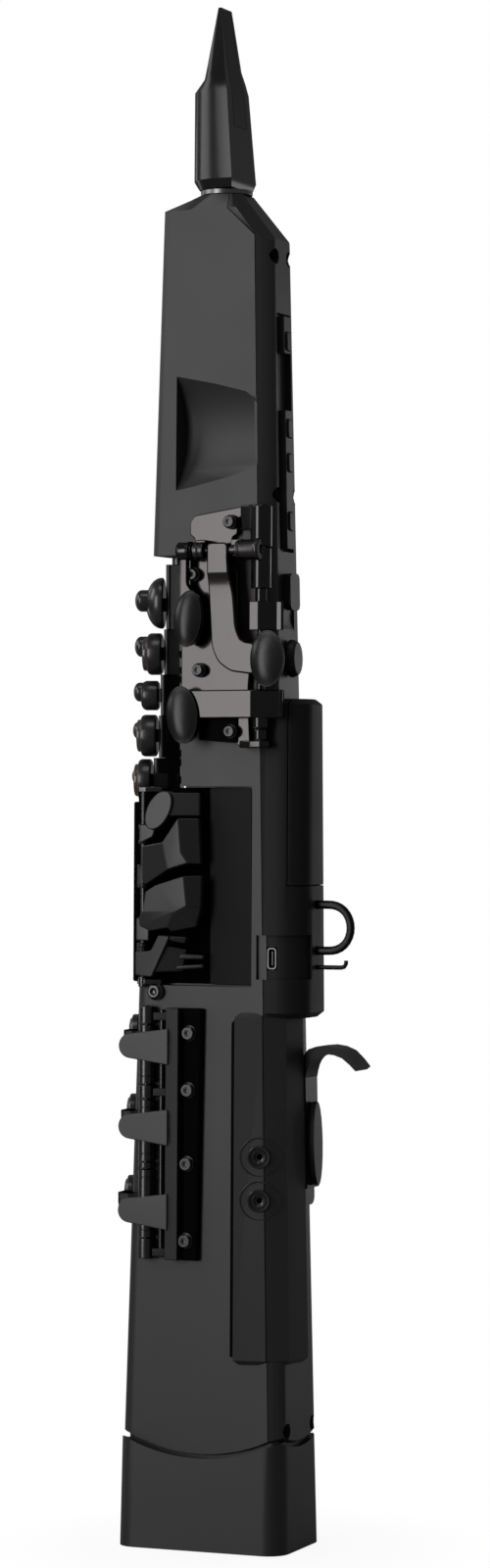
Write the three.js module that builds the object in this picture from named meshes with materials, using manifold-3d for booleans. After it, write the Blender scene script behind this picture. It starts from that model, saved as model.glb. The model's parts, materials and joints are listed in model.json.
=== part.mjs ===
import * as THREE from 'three';
import { mergeVertices } from 'three/addons/utils/BufferGeometryUtils.js';
import Module from 'manifold-3d';

// A digital wind controller of straight soprano shape, standing on its bell.
// Z runs up the instrument, the key side faces -Y, the thumb side +Y and the player's left is +X.
// Lengths are millimetres, levels are heights over the bell's rim, depths run along Y, angles are degrees.

const clearance = 0.3;
const overrun = 3;
const wall = 2.2;
const arcSteps = 5;
const sideSteps = 4;
const roundSides = 20;
const smallSides = 12;

// The tapered body at its foot and at its crown
const foot = { seamHalf: 23.5, seamDepth: 34.4, rearRise: 6.6, rearHalf: 17, frontDepth: 42.8, frontHalf: 18.2, frontRadius: 6.5 };
const crown = { seamHalf: 13.9, seamDepth: 23.4, rearRise: 7.7, rearHalf: 8.6, frontDepth: 23.3, frontHalf: 10.7, frontRadius: 3.8 };
const body = { crownLevel: 607, topLevel: 613.5, topRadius: 12.6, rearDraft: 20 };
const rearSlope = { topDepth: 14.6, lowDepth: 31.3, lowLevel: 592.5 };
const cornerBevel = { x: 14.1, depth: 23.6, level: 595, outShare: 0.6, backShare: 0.6, upShare: 0.53 };
const seamTop = { turnLevel: 594, neckLevel: 607, neckDepth: 9.7 };
const dome = { level: 40, halfWidth: 63, halfDepth: 75, height: 60 };

// Bell, an open cup with a collar that stands inside the body's foot
const bell = {
  height: 56, halfWidth: 25.9, halfDepth: 41, radius: 9.5, topHalfWidth: 24.1, topHalfDepth: 40.3, wall: 2.4, gap: 3,
  roomLevel: 33, collarFoot: 29, collarTop: 62, collarWall: 1.8, deck: 2, soundHole: 13.6,
};
const speaker = { radius: 16, rimHeight: 2.2, coneHeight: 5.4, magnetRadius: 9, magnetHeight: 6.6 };

// Neck tenon, ring and cork, mouthpiece and reed
const neck = {
  depth: 4.1, tenonRadius: 4.5, boreRadius: 2.1, flangeRadius: 8.4, flangeHeight: 2.4, topLevel: 640,
  corkRadius: 5.7, corkHeight: 20, ringRadius: 11.85, ringHeight: 2.2,
};
const beak = { footLevel: 616.3, boreTop: 641, airTop: 674 };
const beakRings = {
  end: { level: 616.3, half: 12.6, table: 11.6, front: -8.4, roundShare: 0.9 },
  shank: { level: 620.4, half: 14.5, table: 12.6, front: -10.9, roundShare: 0.9 },
  shoulder: { level: 660.7, half: 13, table: 9.6, front: -10.6, roundShare: 0.88 },
  ramp: { level: 666, half: 12.1, table: 8.4, front: -4.2, roundShare: 0.5 },
  beak: { level: 671.4, half: 10.1, table: 7.2, front: -3.1, roundShare: 0.4 },
  tip: { level: 699, half: 6.2, table: 4, front: 2.1, roundShare: 0.3 },
};
const beakSections = Object.values(beakRings);
const reed = { heelLevel: 645, tipLevel: 697.6, heelThickness: 2.2, tipThickness: 0.6, heelHalf: 7.6, tipHalf: 5.2 };

// Grip scoops, key bay, little-finger pocket and screw wells
const scoop = { level: 505.8, radius: 43, frontDepth: -15.6, frontSink: 8, rearSink: 2.3 };
const bay = { lowLevel: 332.6, topLevel: 450, floorDepth: -12 };
const pocket = { lowLevel: 254.5, topLevel: 345, frontEdge: -50, step: 4.6, rearEdge: 24, sink: 7, rampSink: 3.6, rearSink: 0.9, wall: 1.5 };
const well = { levels: [584.5, 476.5, 55], radius: 3.6, depth: 7, bossDepth: 10, wall: 1.6, cornerGap: 1 };

// Battery bulge on the thumb side, its cover, cells and tray
const bulge = { lowLevel: 240.5, topLevel: 384.4, depth: 48.3, radius: 13, flush: 0.2, endRound: 2.4, rootDepth: 30, wall: 1.8 };
const cover = { splitLevel: 300, splitDepth: 40.4 };
const cell = { radius: 7.1, length: 49, nubRadius: 2.7, nubHeight: 1.4, offset: 7.3, frontDepth: 22.6, rearDepth: 37.2, level: 317 };
const tray = { end: 1.6, back: 1.4, halfWidth: 12.2, reach: 34 };
const strapCore = { halfWidth: 5, rootDepth: 36, lowLevel: 255, topLevel: 298 };
const strapRing = { level: 281.1, radius: 10.4, barRadius: 1.93, straightDepth: 54.2, rootDepth: 41 };
const cableHook = { level: 263.2, wireRadius: 1, rootDepth: 43, bendDepth: 60, bend: 2.4, tip: 0.8 };

// Charging socket in the groove that runs round the bulge
const groove = { lowLevel: 258, topLevel: 278, sink: 1.5, innerX: 6, frontDepth: 26.4 };
const usb = { level: 267.5, depth: 33.4, width: 4.4, height: 9.8, length: 7, lip: 0.7 };

// Jack housing on the left rear corner
const jackBox = {
  lowLevel: 85, topLevel: 243, frontEdge: 17.6, proud: 4.6, kneeOut: 0.9, kneeRise: 0.4, cornerOut: 1.6, cornerRise: 2.2,
  rearEnd: 2, rearProud: 5.2, inset: 2, rootX: 10, rootDepth: 24,
};
const jack = { level: 178.4, pitch: 19.6, depth: 29, radius: 5.15, flange: 0.9, boreRadius: 1.9, bodyRadius: 4, length: 12, boreDepth: 9 };

// Thumb hook: plate, sliding hook and clamping screw
const thumbHook = {
  level: 185, offset: -5.7, padProud: 0.7, plateThickness: 2.5, plateHalf: 7.5, plateLow: -30, plateTop: 29.7,
  stemHalf: 7.2, stemThickness: 2, stemLow: -22, slotHalf: 2.5, slotLow: -12, slotTop: 10,
  capHalf: 5.6, capTall: 19, capThickness: 2.6, shankRadius: 1.9, shankLevel: -2,
};
const hookOuter = [[3.9, 30], [4.4, 36], [7.4, 41], [16, 42.6], [25, 40], [31.8, 32.6]];
const hookInner = [[30, 31.2], [23.6, 37], [16, 38.8], [9.8, 37.2], [7, 33], [5.8, 28]];

// Upper stack: one rod in the bay and five keys
const upperRod = { x: -8.5, depth: -23.5, radius: 1.3, tubeRadius: 2.5, seat: 3.4, armHalf: 3 };
const upperKeys = {
  front_f_key: { level: 428, back: 27, rim: 32, face: 35.6, tip: 40.6, radius: 7.4, faceRadius: 9.6, knobRadius: 5, knobShift: 2 },
  b_key: { level: 405.6, back: 28, rim: 34.8, face: 37, tip: 40.9, radius: 9.6, faceRadius: 7.7, knobRadius: 4.7, knobShift: 3.4 },
  b_flat_bis_key: { level: 386.6, back: 29.7, rim: 37.2, face: 37.9, tip: 41.6, radius: 6.8, faceRadius: 5.4, knobRadius: 4.4, knobShift: 1.6 },
  a_key: { level: 368.2, back: 30.6, rim: 38, face: 39.9, tip: 42, radius: 9.6, faceRadius: 7.4, knobRadius: 3.9, knobShift: 2.4 },
  g_key: { level: 347.8, back: 33.2, rim: 39.4, face: 41.3, tip: 42.6, radius: 9.7, faceRadius: 7.4, knobRadius: 3.4, knobShift: 1.8 },
};

// Palm keys, laid out from a point on the left side face: out, back and up
const palm = { level: 416, depth: 8 };
const palmPlate = { rise: 0.3, top: 3.6, front: -15, rear: 13, low: -54.5, high: 54.5, cutBack: 6, cutDown: 8, lugReach: 24, screwRadius: 2.9, screwTop: 5.2, socketRadius: 1, socketDepth: 1.2 };
const palmScrews = [[6.9, 48], [-11.7, 24.7], [-8.5, -18.6], [7.7, -46.4]];
const palmPivot = { out: 9.9, up: 35, radius: 1.4, tubeRadius: 3.1, front: -17.8, rear: 24, lugs: [[-8.8, -3.2], [9, 18.4]] };
const palmRod = {
  out: 3.2, back: 22.2, radius: 1.4, tubeRadius: 3.4, low: -54, high: 55.4, sleeveTop: 50.5, footTop: -45.5, sleeveLow: -28, lug: 4.6, collarLow: -2, collarTop: 12, collarInner: -2.2, collarOuter: 4.2,
  collarFront: -5.2, collarRear: 8.6,
};
const palmStrap = { inner: 6.8, outer: 10.2 };
const palmTouch = { tall: 13.2, wide: 6.2, thickness: 3.6, edgeShare: 0.86 };
const palmKeys = {
  palm_e_flat_key: {
    touch: [9.8, -12, 4], tube: [-17, -9.2], blocks: [[6.6, 10.2, -16.6, -7, -6, 30], [6.6, 10.2, -16.6, -9.4, 28, 35]],
  },
  palm_d_key: {
    touch: [9.8, 27, -13.5], tube: [-2.8, 8.6], blocks: [[9, 12, 3, 27, -20, -6]],
    strap: [
      [-2.4, 36], [-1.6, 18.1], [0, 14.8], [0.1, -8.4], [3.3, -15.1], [9.5, -19.3], [16, -20], [16, -6], [14.3, -5.3], [11.8, 0.2],
      [11.7, 15.6], [9.8, 20.1], [8.4, 31], [8.4, 36],
    ],
  },
  palm_f_key: { touch: [9.4, -15, -39], tubeUp: [-45, -28.4], blocks: [[6.6, 9.7, -17, 29, -40.4, -28.8], [1.2, 9.7, 20.4, 29, -40.4, -28.8]] },
};

// Little-finger keys, laid out from a point on the left side face
const pinky = { level: 300, depth: -10 };
const pinkyRod = { out: 2.9, back: -21.2, radius: 1.2, low: -45, high: 44.6, postHeight: 2.2, postBack: -12, postOut: 4.6, postRoot: -3.7 };
const pinkyPlan = [
  [2.1, -22.9], [4.2, -22.8], [6.4, -20.2], [8.2, -14], [8, -4], [6, 2.6], [4.4, 8.6], [1.8, 8.6], [1.8, 2], [3.6, -6], [3.9, -14], [3.1, -18.4], [1.4, -19],
];
const pinkyKeys = {
  g_sharp_key: [
    [9, 42.2], [-9.2, 42.2], [-13.3, 41.6], [-16.5, 40], [-24, 40], [-24, 30.2], [-16.4, 30.2], [-13.3, 26.9], [-9.2, 25.8],
    [-5.1, 26.9], [-2.1, 29.9], [-1, 34], [0, 34.8], [9, 34.8],
  ],
  low_c_sharp_key: [
    [-24, 27.9], [-18.2, 27.9], [-17, 18.7], [-8.5, 19.5], [-6.6, 21.5], [1, 30.4], [9, 30.6], [9, 10.2], [-5.7, 7.8], [-15.4, 0.2],
    [-17.7, 1.2], [-17.4, 9.9], [-24, 9.9],
  ],
  low_b_key: [
    [-24, 9.6], [-18.1, 9.6], [-18.1, -2.6], [-15.3, -2.6], [-9.6, 1.3], [4.1, 3.9], [9, 4.2], [9, -19.6], [-4.5, -20.6],
    [-12, -19.6], [-18.6, -16.4], [-18.4, -11], [-24, -11],
  ],
  low_b_flat_key: [
    [-24, -14.4], [-19.2, -14.4], [-19.2, -29.9], [-15.7, -30.3], [-11.4, -22.5], [-6.4, -22.9], [5, -23.4], [5, -28.6],
    [-8.3, -28.6], [-9.2, -31], [6, -31.4], [6, -37], [-11, -36.6], [-12.5, -41.4], [-24, -41.4],
  ],
};

// Lower stack, laid out from a point on the left side face
const lower = { level: 187.5, depth: -4.7 };
const sidePlate = { top: 3.1, front: -6.3, rear: 5.6, low: -57.2, high: 57.1, screwBack: -1.2, screwRadius: 3, screwTop: 5, socketRadius: 1.1, socketDepth: 1.2, screwUps: [45.9, 20.1, -13.2, -48] };
const guard = { front: -11.9, rear: -6.6, top: 7.1, wingThickness: 1.6, reach: -33.3, rootHalf: 8, tipHalf: 5, notch: 2.6 };
const wingUps = [39.5, 2.9, -35.2];
const lowerRod = { out: 2.8, back: -21.3, radius: 1.4, tubeRadius: 2.4, low: -57, high: 58, collarRadius: 3, collarHeight: 12.6 };
const lowerCup = { gap: 4, thickness: 3.6, radius: 9.2, pearlRadius: 7.4, pearlHeight: 1.1, armHalf: 2.6, armFront: 9.5, cornerShare: 0.42 };
const lowerKeys = { f_key: { level: 231, tubeHalf: 7.6 }, e_key: { level: 194.5, tubeHalf: 7.6 }, d_key: { level: 157, tubeHalf: 7.6 } };

// Keys of the right side, laid out from a point on the right side face: out, forward and up
const right = { level: 212, depth: -6 };
const rightRod = { out: 4.2, radius: 1.4, tubeRadius: 2.5, low: -122, high: 124, lug: 4 };
const rightTouch = { out: 3.2, thickness: 3.2, tubeHalf: 7 };
const rightKeys = {
  side_e_key: { up: 106, from: -15, to: 1, half: 10 }, side_c_key: { up: 78, from: -15, to: 1, half: 10 },
  side_b_flat_key: { up: 50, from: -15, to: 1, half: 10 }, low_e_flat_key: { up: -84, from: -1, to: 19, half: 7 },
  low_c_key: { up: -104, from: -1, to: 19, half: 7 },
};

// Thumb side: octave key, thumb controller and four buttons
const thumbScoop = { level: 421.5, radius: 16, half: 7.5, sink: 1.1 };
const octave = { level: 433, half: 5.6, low: -8.4, high: 8.2, rise: 0.6, thickness: 3.2, pinUp: 6.4, pinOut: 1.9 };
const thumbPad = { level: 402.8, wide: 6.4, tall: 8.6, rise: 0.7, thickness: 4.2 };
const button = { wide: 2.5, tall: 4.1, rise: 2.8, seat: 0.8, root: 0.1 };
const buttonLevels = { power_button: 546.5, minus_button: 507, plus_button: 491.5, select_button: 465 };
const trough = { low: 451, high: 559, half: 8.2, sink: 2.8, ribHalf: 4, ribRise: 2, ribs: [[452.5, 515], [541, 557.5]] };

// Circuit board and breath sensor behind the key bay
const board = { gap: 0.4, thickness: 1.6, half: 6.8, low: 262, high: 472 };
const sensor = { half: 5, height: 11, depth: 8, top: 470 };

const wasm = await Module();
wasm.setup();

const instrument = new THREE.Group();
const blackPlastic = { color: 0x2c2c2e, roughness: 0.55, metalness: 0 };
const glossPlastic = { color: 0x1c1c1e, roughness: 0.2, metalness: 0 };
const darkMetal = { color: 0x3a3a3c, roughness: 0.3, metalness: 0.8 };
const steel = { color: 0x9a9a9e, roughness: 0.3, metalness: 1 };
const greyPlastic = { color: 0x505052, roughness: 0.45, metalness: 0 };
const corkTan = { color: 0xb98d5e, roughness: 0.9, metalness: 0 };
const boardGreen = { color: 0x1f5a36, roughness: 0.6, metalness: 0 };
const cellSleeve = { color: 0x3f6f9a, roughness: 0.4, metalness: 0.3 };

const radians = THREE.MathUtils.degToRad;
const mix = THREE.MathUtils.lerp;
const vector = (x, y, z) => new THREE.Vector3(x, y, z);

// Solids for cutting and joining

function solidOf(shape) {
  if (!shape.isBufferGeometry) return shape;
  const bare = shape.clone();
  bare.deleteAttribute('normal');
  bare.deleteAttribute('uv');
  const welded = mergeVertices(bare);
  return new wasm.Manifold(new wasm.Mesh({
    numProp: 3,
    vertProperties: new Float32Array(welded.attributes.position.array),
    triVerts: new Uint32Array(welded.index.array),
  }));
}

function geometryOf(shape) {
  const mesh = solidOf(shape).getMesh();
  const geometry = new THREE.BufferGeometry();
  geometry.setAttribute('position', new THREE.BufferAttribute(new Float32Array(mesh.vertProperties), 3));
  geometry.setIndex(new THREE.BufferAttribute(new Uint32Array(mesh.triVerts), 1));
  geometry.computeVertexNormals();
  return geometry;
}

function join(...shapes) {
  return shapes.map(solidOf).reduce((whole, piece) => whole.add(piece));
}

function cut(base, ...tools) {
  return tools.reduce((rest, tool) => rest.subtract(solidOf(tool)), solidOf(base));
}

function common(base, other) {
  return solidOf(base).intersect(solidOf(other));
}

function mirrored(shape) {
  const geometry = geometryOf(shape).scale(-1, 1, 1);
  const index = geometry.index;
  for (let corner = 0; corner < index.count; corner += 3) {
    const first = index.getX(corner);
    index.setX(corner, index.getX(corner + 1));
    index.setX(corner + 1, first);
  }
  return geometry;
}

// Basic shapes

function block(x0, x1, y0, y1, z0, z1) {
  return new THREE.BoxGeometry(x1 - x0, y1 - y0, z1 - z0).translate((x0 + x1) / 2, (y0 + y1) / 2, (z0 + z1) / 2);
}

// Round bar along Z, Y or X between two values on that axis
function barUp(radius, low, high, sides = smallSides) {
  return new THREE.CylinderGeometry(radius, radius, high - low, sides).rotateX(Math.PI / 2).translate(0, 0, (low + high) / 2);
}

function barBack(radius, front, rear, sides = smallSides) {
  return new THREE.CylinderGeometry(radius, radius, rear - front, sides).translate(0, (front + rear) / 2, 0);
}

function barOut(radius, inner, outer, sides = smallSides) {
  return new THREE.CylinderGeometry(radius, radius, outer - inner, sides).rotateZ(Math.PI / 2).translate((inner + outer) / 2, 0, 0);
}

function lathe(profile, sides = roundSides) {
  return new THREE.LatheGeometry(profile.map(([radius, height]) => new THREE.Vector2(radius, height)), sides).rotateX(Math.PI / 2);
}

function sleeve(outer, inner, low, high, sides = roundSides) {
  return lathe([[inner, low], [outer, low], [outer, high], [inner, high], [inner, low]], sides);
}

function slab(outline, thickness) {
  return new THREE.ExtrudeGeometry(new THREE.Shape(outline), { depth: thickness, bevelEnabled: false, steps: 1 });
}

const planar = (points) => points.map(([x, y]) => new THREE.Vector2(x, y));

// A prism along X from an outline of depths and levels
function sideways(outline, fromX, toX) {
  const axes = new THREE.Matrix4().makeBasis(vector(0, 1, 0), vector(0, 0, 1), vector(1, 0, 0));
  return slab(outline, toX - fromX).translate(0, 0, fromX).applyMatrix4(axes);
}

function arc(centreX, centreY, radius, fromAngle, toAngle, steps = arcSteps) {
  return Array.from({ length: steps + 1 }, (_, step) => {
    const angle = radians(mix(fromAngle, toAngle, step / steps));
    return new THREE.Vector2(centreX + radius * Math.cos(angle), centreY + radius * Math.sin(angle));
  });
}

function roundedRectangle(halfX, halfY, radius) {
  return [
    ...arc(halfX - radius, halfY - radius, radius, 0, 90), ...arc(radius - halfX, halfY - radius, radius, 90, 180),
    ...arc(radius - halfX, radius - halfY, radius, 180, 270), ...arc(halfX - radius, radius - halfY, radius, 270, 360),
  ];
}

function oval(halfX, halfY, sides = roundSides) {
  return arc(0, 0, 1, 0, 360, sides).slice(1).map((point) => new THREE.Vector2(point.x * halfX, point.y * halfY));
}

// A closed skin through level rings of equal count, each anticlockwise seen from above, lowest first
function loft(rings) {
  const count = rings[0].length;
  const faces = [];
  for (let ring = 0; ring + 1 < rings.length; ring += 1) {
    for (let side = 0; side < count; side += 1) {
      const next = (side + 1) % count;
      const low = ring * count;
      const high = low + count;
      faces.push(low + side, low + next, high + next, low + side, high + next, high + side);
    }
  }
  const last = (rings.length - 1) * count;
  for (const [a, b, c] of THREE.ShapeUtils.triangulateShape(rings[0].map((point) => new THREE.Vector2(point.x, point.y)), [])) {
    faces.push(a, c, b, last + a, last + b, last + c);
  }
  const geometry = new THREE.BufferGeometry();
  const places = rings.flat().flatMap((point) => point.toArray());
  geometry.setAttribute('position', new THREE.BufferAttribute(new Float32Array(places), 3));
  geometry.setIndex(faces);
  return geometry;
}

function ringAt(outline, level) {
  return outline.map((point) => vector(point.x, point.y, level));
}

// The body's sizes and outline at a level
function sizeAt(level) {
  const share = level / body.crownLevel;
  const size = Object.fromEntries(Object.keys(foot).map((key) => [key, mix(foot[key], crown[key], share)]));
  return { ...size, rearDepth: size.seamDepth + size.rearRise };
}

function sideX(level, depth) {
  const size = sizeAt(level);
  const nose = size.frontRadius - size.frontDepth;
  return mix(size.frontHalf, size.seamHalf, (depth - nose) / (size.seamDepth - nose));
}

function section(level, grow = 0) {
  const size = sizeAt(level);
  const radius = size.frontRadius + grow;
  const front = arc(size.frontHalf - size.frontRadius, size.frontRadius - size.frontDepth, radius, 270, 360);
  const noseEnd = front[front.length - 1];
  const seam = new THREE.Vector2(size.seamHalf + grow, size.seamDepth);
  const side = Array.from({ length: sideSteps - 1 }, (_, step) => noseEnd.clone().lerp(seam, (step + 1) / sideSteps));
  const rearY = size.rearDepth + grow;
  const knee = new THREE.Vector2(seam.x - (rearY - seam.y) * Math.tan(radians(body.rearDraft)), rearY);
  const corner = new THREE.QuadraticBezierCurve(seam, knee, new THREE.Vector2(size.rearHalf, rearY)).getPoints(arcSteps);
  const left = [...front, ...side, ...corner];
  const opposite = left.map((point) => new THREE.Vector2(-point.x, point.y)).reverse();
  return [...left, ...opposite];
}

// The whole outside, grown or shrunk: the straight taper, then the shoulder drawn in to the neck's seat
function envelope(grow) {
  const shoulder = section(body.crownLevel, grow);
  const radius = body.topRadius + grow;
  const top = shoulder.map((point) => {
    const away = new THREE.Vector2(point.x, point.y - neck.depth).normalize();
    return new THREE.Vector2(away.x * radius, neck.depth + away.y * radius);
  });
  const trunk = loft([
    ringAt(section(-overrun, grow), -overrun), ringAt(shoulder, body.crownLevel + grow), ringAt(top, body.topLevel + grow),
  ]);
  return cut(trunk, slopeCut(grow), bevelCut(grow), mirrored(bevelCut(grow)));
}

function slopeCut(grow) {
  const run = rearSlope.lowDepth - rearSlope.topDepth;
  const rise = body.topLevel - rearSlope.lowLevel;
  const away = new THREE.Vector2(rise, run).normalize().multiplyScalar(grow);
  const top = [rearSlope.topDepth - run + away.x, body.topLevel + rise + away.y];
  const low = [rearSlope.lowDepth + run + away.x, rearSlope.lowLevel - rise + away.y];
  return sideways(planar([top, low, [low[0], top[1]]]), -foot.seamHalf, foot.seamHalf);
}

// Flat bevel that runs from the seam's top corner to the neck's seat
function bevelCut(grow) {
  const away = vector(cornerBevel.outShare, cornerBevel.backShare, cornerBevel.upShare).normalize();
  const size = foot.frontDepth;
  const turn = new THREE.Quaternion().setFromUnitVectors(vector(0, 0, 1), away);
  const corner = vector(cornerBevel.x, cornerBevel.depth, cornerBevel.level).addScaledVector(away, grow);
  return block(-size, size, -size, size, 0, size).applyQuaternion(turn).translate(corner.x, corner.y, corner.z);
}

// All that lies in front of the seam, moved back by a gap
function beforeSeam(gap) {
  const far = 2 * foot.frontDepth;
  const highest = body.topLevel + far;
  const outline = [
    [-far, -far], [sizeAt(-far).seamDepth + gap, -far], [sizeAt(seamTop.turnLevel).seamDepth + gap, seamTop.turnLevel + gap],
    [seamTop.neckDepth + gap, seamTop.neckLevel + gap], [seamTop.neckDepth + gap, highest], [-far, highest],
  ];
  return sideways(planar(outline), -far, far);
}

// All that lies under the body's domed lower end
function underDome(drop) {
  const ball = new THREE.SphereGeometry(1, 2 * roundSides, 2 * roundSides).rotateX(Math.PI / 2);
  const centre = dome.level - drop + dome.height;
  ball.scale(dome.halfWidth, dome.halfDepth, dome.height).translate(0, 0, centre);
  const far = foot.frontDepth + overrun;
  return cut(block(-far, far, -far, far, -far, centre), ball);
}

// Frames on the left side face, the right side face and the rear face
function sideMatrix(level, depth, mirror = 1) {
  const origin = vector(sideX(level, depth), depth, level);
  const up = vector(sideX(body.crownLevel, depth), depth, body.crownLevel).sub(origin).normalize();
  const back = vector(sideX(level, foot.seamDepth), foot.seamDepth, level).sub(origin);
  const out = vector(0, 0, 0).crossVectors(back, up).normalize();
  for (const direction of [origin, up, out]) direction.x *= mirror;
  return new THREE.Matrix4().makeBasis(out, vector(0, 0, 0).crossVectors(up, out), up).setPosition(origin);
}

function rearMatrix(level, x = 0) {
  const up = vector(0, sizeAt(body.crownLevel).rearDepth - sizeAt(0).rearDepth, body.crownLevel).normalize();
  const out = vector(0, up.z, -up.y);
  return new THREE.Matrix4().makeBasis(vector(1, 0, 0), out, up).setPosition(x, sizeAt(level).rearDepth, level);
}

function place(matrix, parent = instrument) {
  const group = new THREE.Group();
  group.applyMatrix4(matrix);
  parent.add(group);
  return group;
}

function part(name, shape, finish, parent = instrument) {
  const mesh = new THREE.Mesh(geometryOf(shape), new THREE.MeshStandardMaterial(finish));
  mesh.name = name;
  parent.add(mesh);
  return mesh;
}

// Hollows of the outside, grown by a wall where the inside keeps clear of them

function scoopCut(grow) {
  const rearDepth = sizeAt(scoop.level).seamDepth;
  const front = vector(sideX(scoop.level, scoop.frontDepth) - scoop.frontSink + scoop.radius, scoop.frontDepth, scoop.level);
  const rear = vector(sideX(scoop.level, rearDepth) - scoop.rearSink + scoop.radius, rearDepth, scoop.level);
  const along = rear.clone().sub(front).normalize();
  const end = rear.clone().addScaledVector(along, scoop.radius);
  const capSlip = (scoop.radius - scoop.frontSink) * along.x;
  const start = front.clone().addScaledVector(along, -grow - capSlip);
  const length = end.distanceTo(start);
  const tool = new THREE.CylinderGeometry(scoop.radius + grow, scoop.radius + grow, length, 3 * roundSides);
  tool.applyQuaternion(new THREE.Quaternion().setFromUnitVectors(vector(0, 1, 0), along));
  const middle = start.lerp(end, 1 / 2);
  return tool.translate(middle.x, middle.y, middle.z);
}

function bayCut(grow) {
  const far = 2 * foot.seamHalf;
  return block(-far, far, -foot.frontDepth - overrun, bay.floorDepth + grow, bay.lowLevel - grow, bay.topLevel + grow);
}

function pocketCut(grow) {
  const level = (pocket.lowLevel + pocket.topLevel) / 2;
  const far = foot.seamHalf + overrun;
  const floorX = sideX(level, pocket.step) - pocket.sink - grow;
  const outline = planar([
    [far, pocket.frontEdge - grow], [far, pocket.rearEdge + grow],
    [sideX(level, pocket.rearEdge) - pocket.rearSink - grow, pocket.rearEdge + grow],
    [sideX(level, pocket.step) - pocket.rampSink - grow, pocket.step + grow],
    [floorX, pocket.step + grow], [floorX, pocket.frontEdge - grow],
  ]);
  return slab(outline, pocket.topLevel - pocket.lowLevel + 2 * grow).translate(0, 0, pocket.lowLevel - grow);
}

const hollows = (grow) => [bayCut(grow), pocketCut(grow && pocket.wall), scoopCut(grow), mirrored(scoopCut(grow))];

// Jack housing, its rings following the body's taper
function jackRing(level, shrink) {
  const size = sizeAt(level);
  return ringAt(planar([
    [jackBox.rootX, jackBox.frontEdge + shrink],
    [sideX(level, jackBox.frontEdge) + jackBox.proud - shrink, jackBox.frontEdge + shrink],
    [size.seamHalf + jackBox.kneeOut - shrink, size.seamDepth - jackBox.kneeRise],
    [size.rearHalf + jackBox.cornerOut - shrink, size.rearDepth + jackBox.cornerRise - shrink],
    [jackBox.rearEnd + shrink, size.rearDepth + jackBox.rearProud - shrink],
    [jackBox.rearEnd + shrink, jackBox.rootDepth],
  ]), level);
}

function jackHousing(shrink) {
  const low = jackBox.lowLevel + shrink;
  const top = jackBox.topLevel - shrink;
  return loft([
    jackRing(low, shrink + jackBox.inset), jackRing(low + jackBox.inset, shrink),
    jackRing(top - jackBox.inset, shrink), jackRing(top, shrink + jackBox.inset),
  ]);
}

function jackMatrix(number) {
  const level = jack.level - number * jack.pitch;
  const size = sizeAt(level);
  const front = new THREE.Vector2(sideX(level, jackBox.frontEdge) + jackBox.proud, jackBox.frontEdge);
  const knee = new THREE.Vector2(size.seamHalf + jackBox.kneeOut, size.seamDepth - jackBox.kneeRise);
  const share = (jack.depth - front.y) / (knee.y - front.y);
  const turn = Math.atan2(front.x - knee.x, knee.y - front.y);
  return new THREE.Matrix4().makeRotationZ(turn).setPosition(mix(front.x, knee.x, share), jack.depth, level);
}

function jackHole(number) {
  return barOut(jack.bodyRadius + clearance, -jack.length - clearance, overrun).applyMatrix4(jackMatrix(number));
}

// Battery bulge, its rings following the rear shell's sides
function bulgeRing(level, shrink, inset) {
  const half = sizeAt(level).seamHalf - bulge.flush - shrink - inset;
  const rear = bulge.depth - shrink - inset;
  const radius = bulge.radius - shrink;
  const left = arc(half - radius, rear - radius, radius, 0, 90);
  const points = [new THREE.Vector2(half, bulge.rootDepth), ...left];
  const opposite = points.map((point) => new THREE.Vector2(-point.x, point.y)).reverse();
  return ringAt([...points, ...opposite], level);
}

function bulgeSolid(shrink) {
  const low = bulge.lowLevel + shrink;
  const top = bulge.topLevel - shrink;
  return loft([
    bulgeRing(low, shrink, bulge.endRound), bulgeRing(low + bulge.endRound, shrink, 0),
    bulgeRing(top - bulge.endRound, shrink, 0), bulgeRing(top, shrink, bulge.endRound),
  ]);
}

function grooveCut(grow) {
  const far = 2 * foot.seamHalf;
  const band = block(groove.innerX - grow, far, groove.frontDepth - grow, bulge.depth + overrun, groove.lowLevel - grow, groove.topLevel + grow);
  const middle = (groove.lowLevel + groove.topLevel) / 2;
  const sink = groove.sink + grow;
  const rings = [groove.lowLevel - 2 * overrun, groove.topLevel + 2 * overrun].map((level) => bulgeRing(level, sink, 0));
  const half = sideX(middle, groove.frontDepth) - sink;
  return cut(band, loft(rings), block(-half, half, 0, bulge.rootDepth + overrun, groove.lowLevel - far, groove.topLevel + far));
}

const coverZone = (gap) => block(
  -foot.seamHalf, foot.seamHalf, cover.splitDepth + gap, bulge.depth + overrun, cover.splitLevel + gap, bulge.topLevel + overrun);

// Screw wells sunk into the thumb side, left and right
function wellShape(level, radius, depth) {
  const size = sizeAt(level);
  const left = barBack(radius, size.rearDepth - depth, size.rearDepth + overrun).translate(size.rearHalf - well.cornerGap, 0, level);
  return [left, mirrored(left)];
}

const outside = envelope(0);
const inside = envelope(-wall);
const neckHole = barUp(neck.tenonRadius + clearance, body.crownLevel - overrun, body.topLevel + overrun, roundSides).translate(0, neck.depth, 0);
const rodHole = barUp(upperRod.radius + clearance, bay.lowLevel - upperRod.seat - clearance, bay.topLevel + upperRod.seat + clearance)
  .translate(upperRod.x, upperRod.depth, 0);

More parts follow.
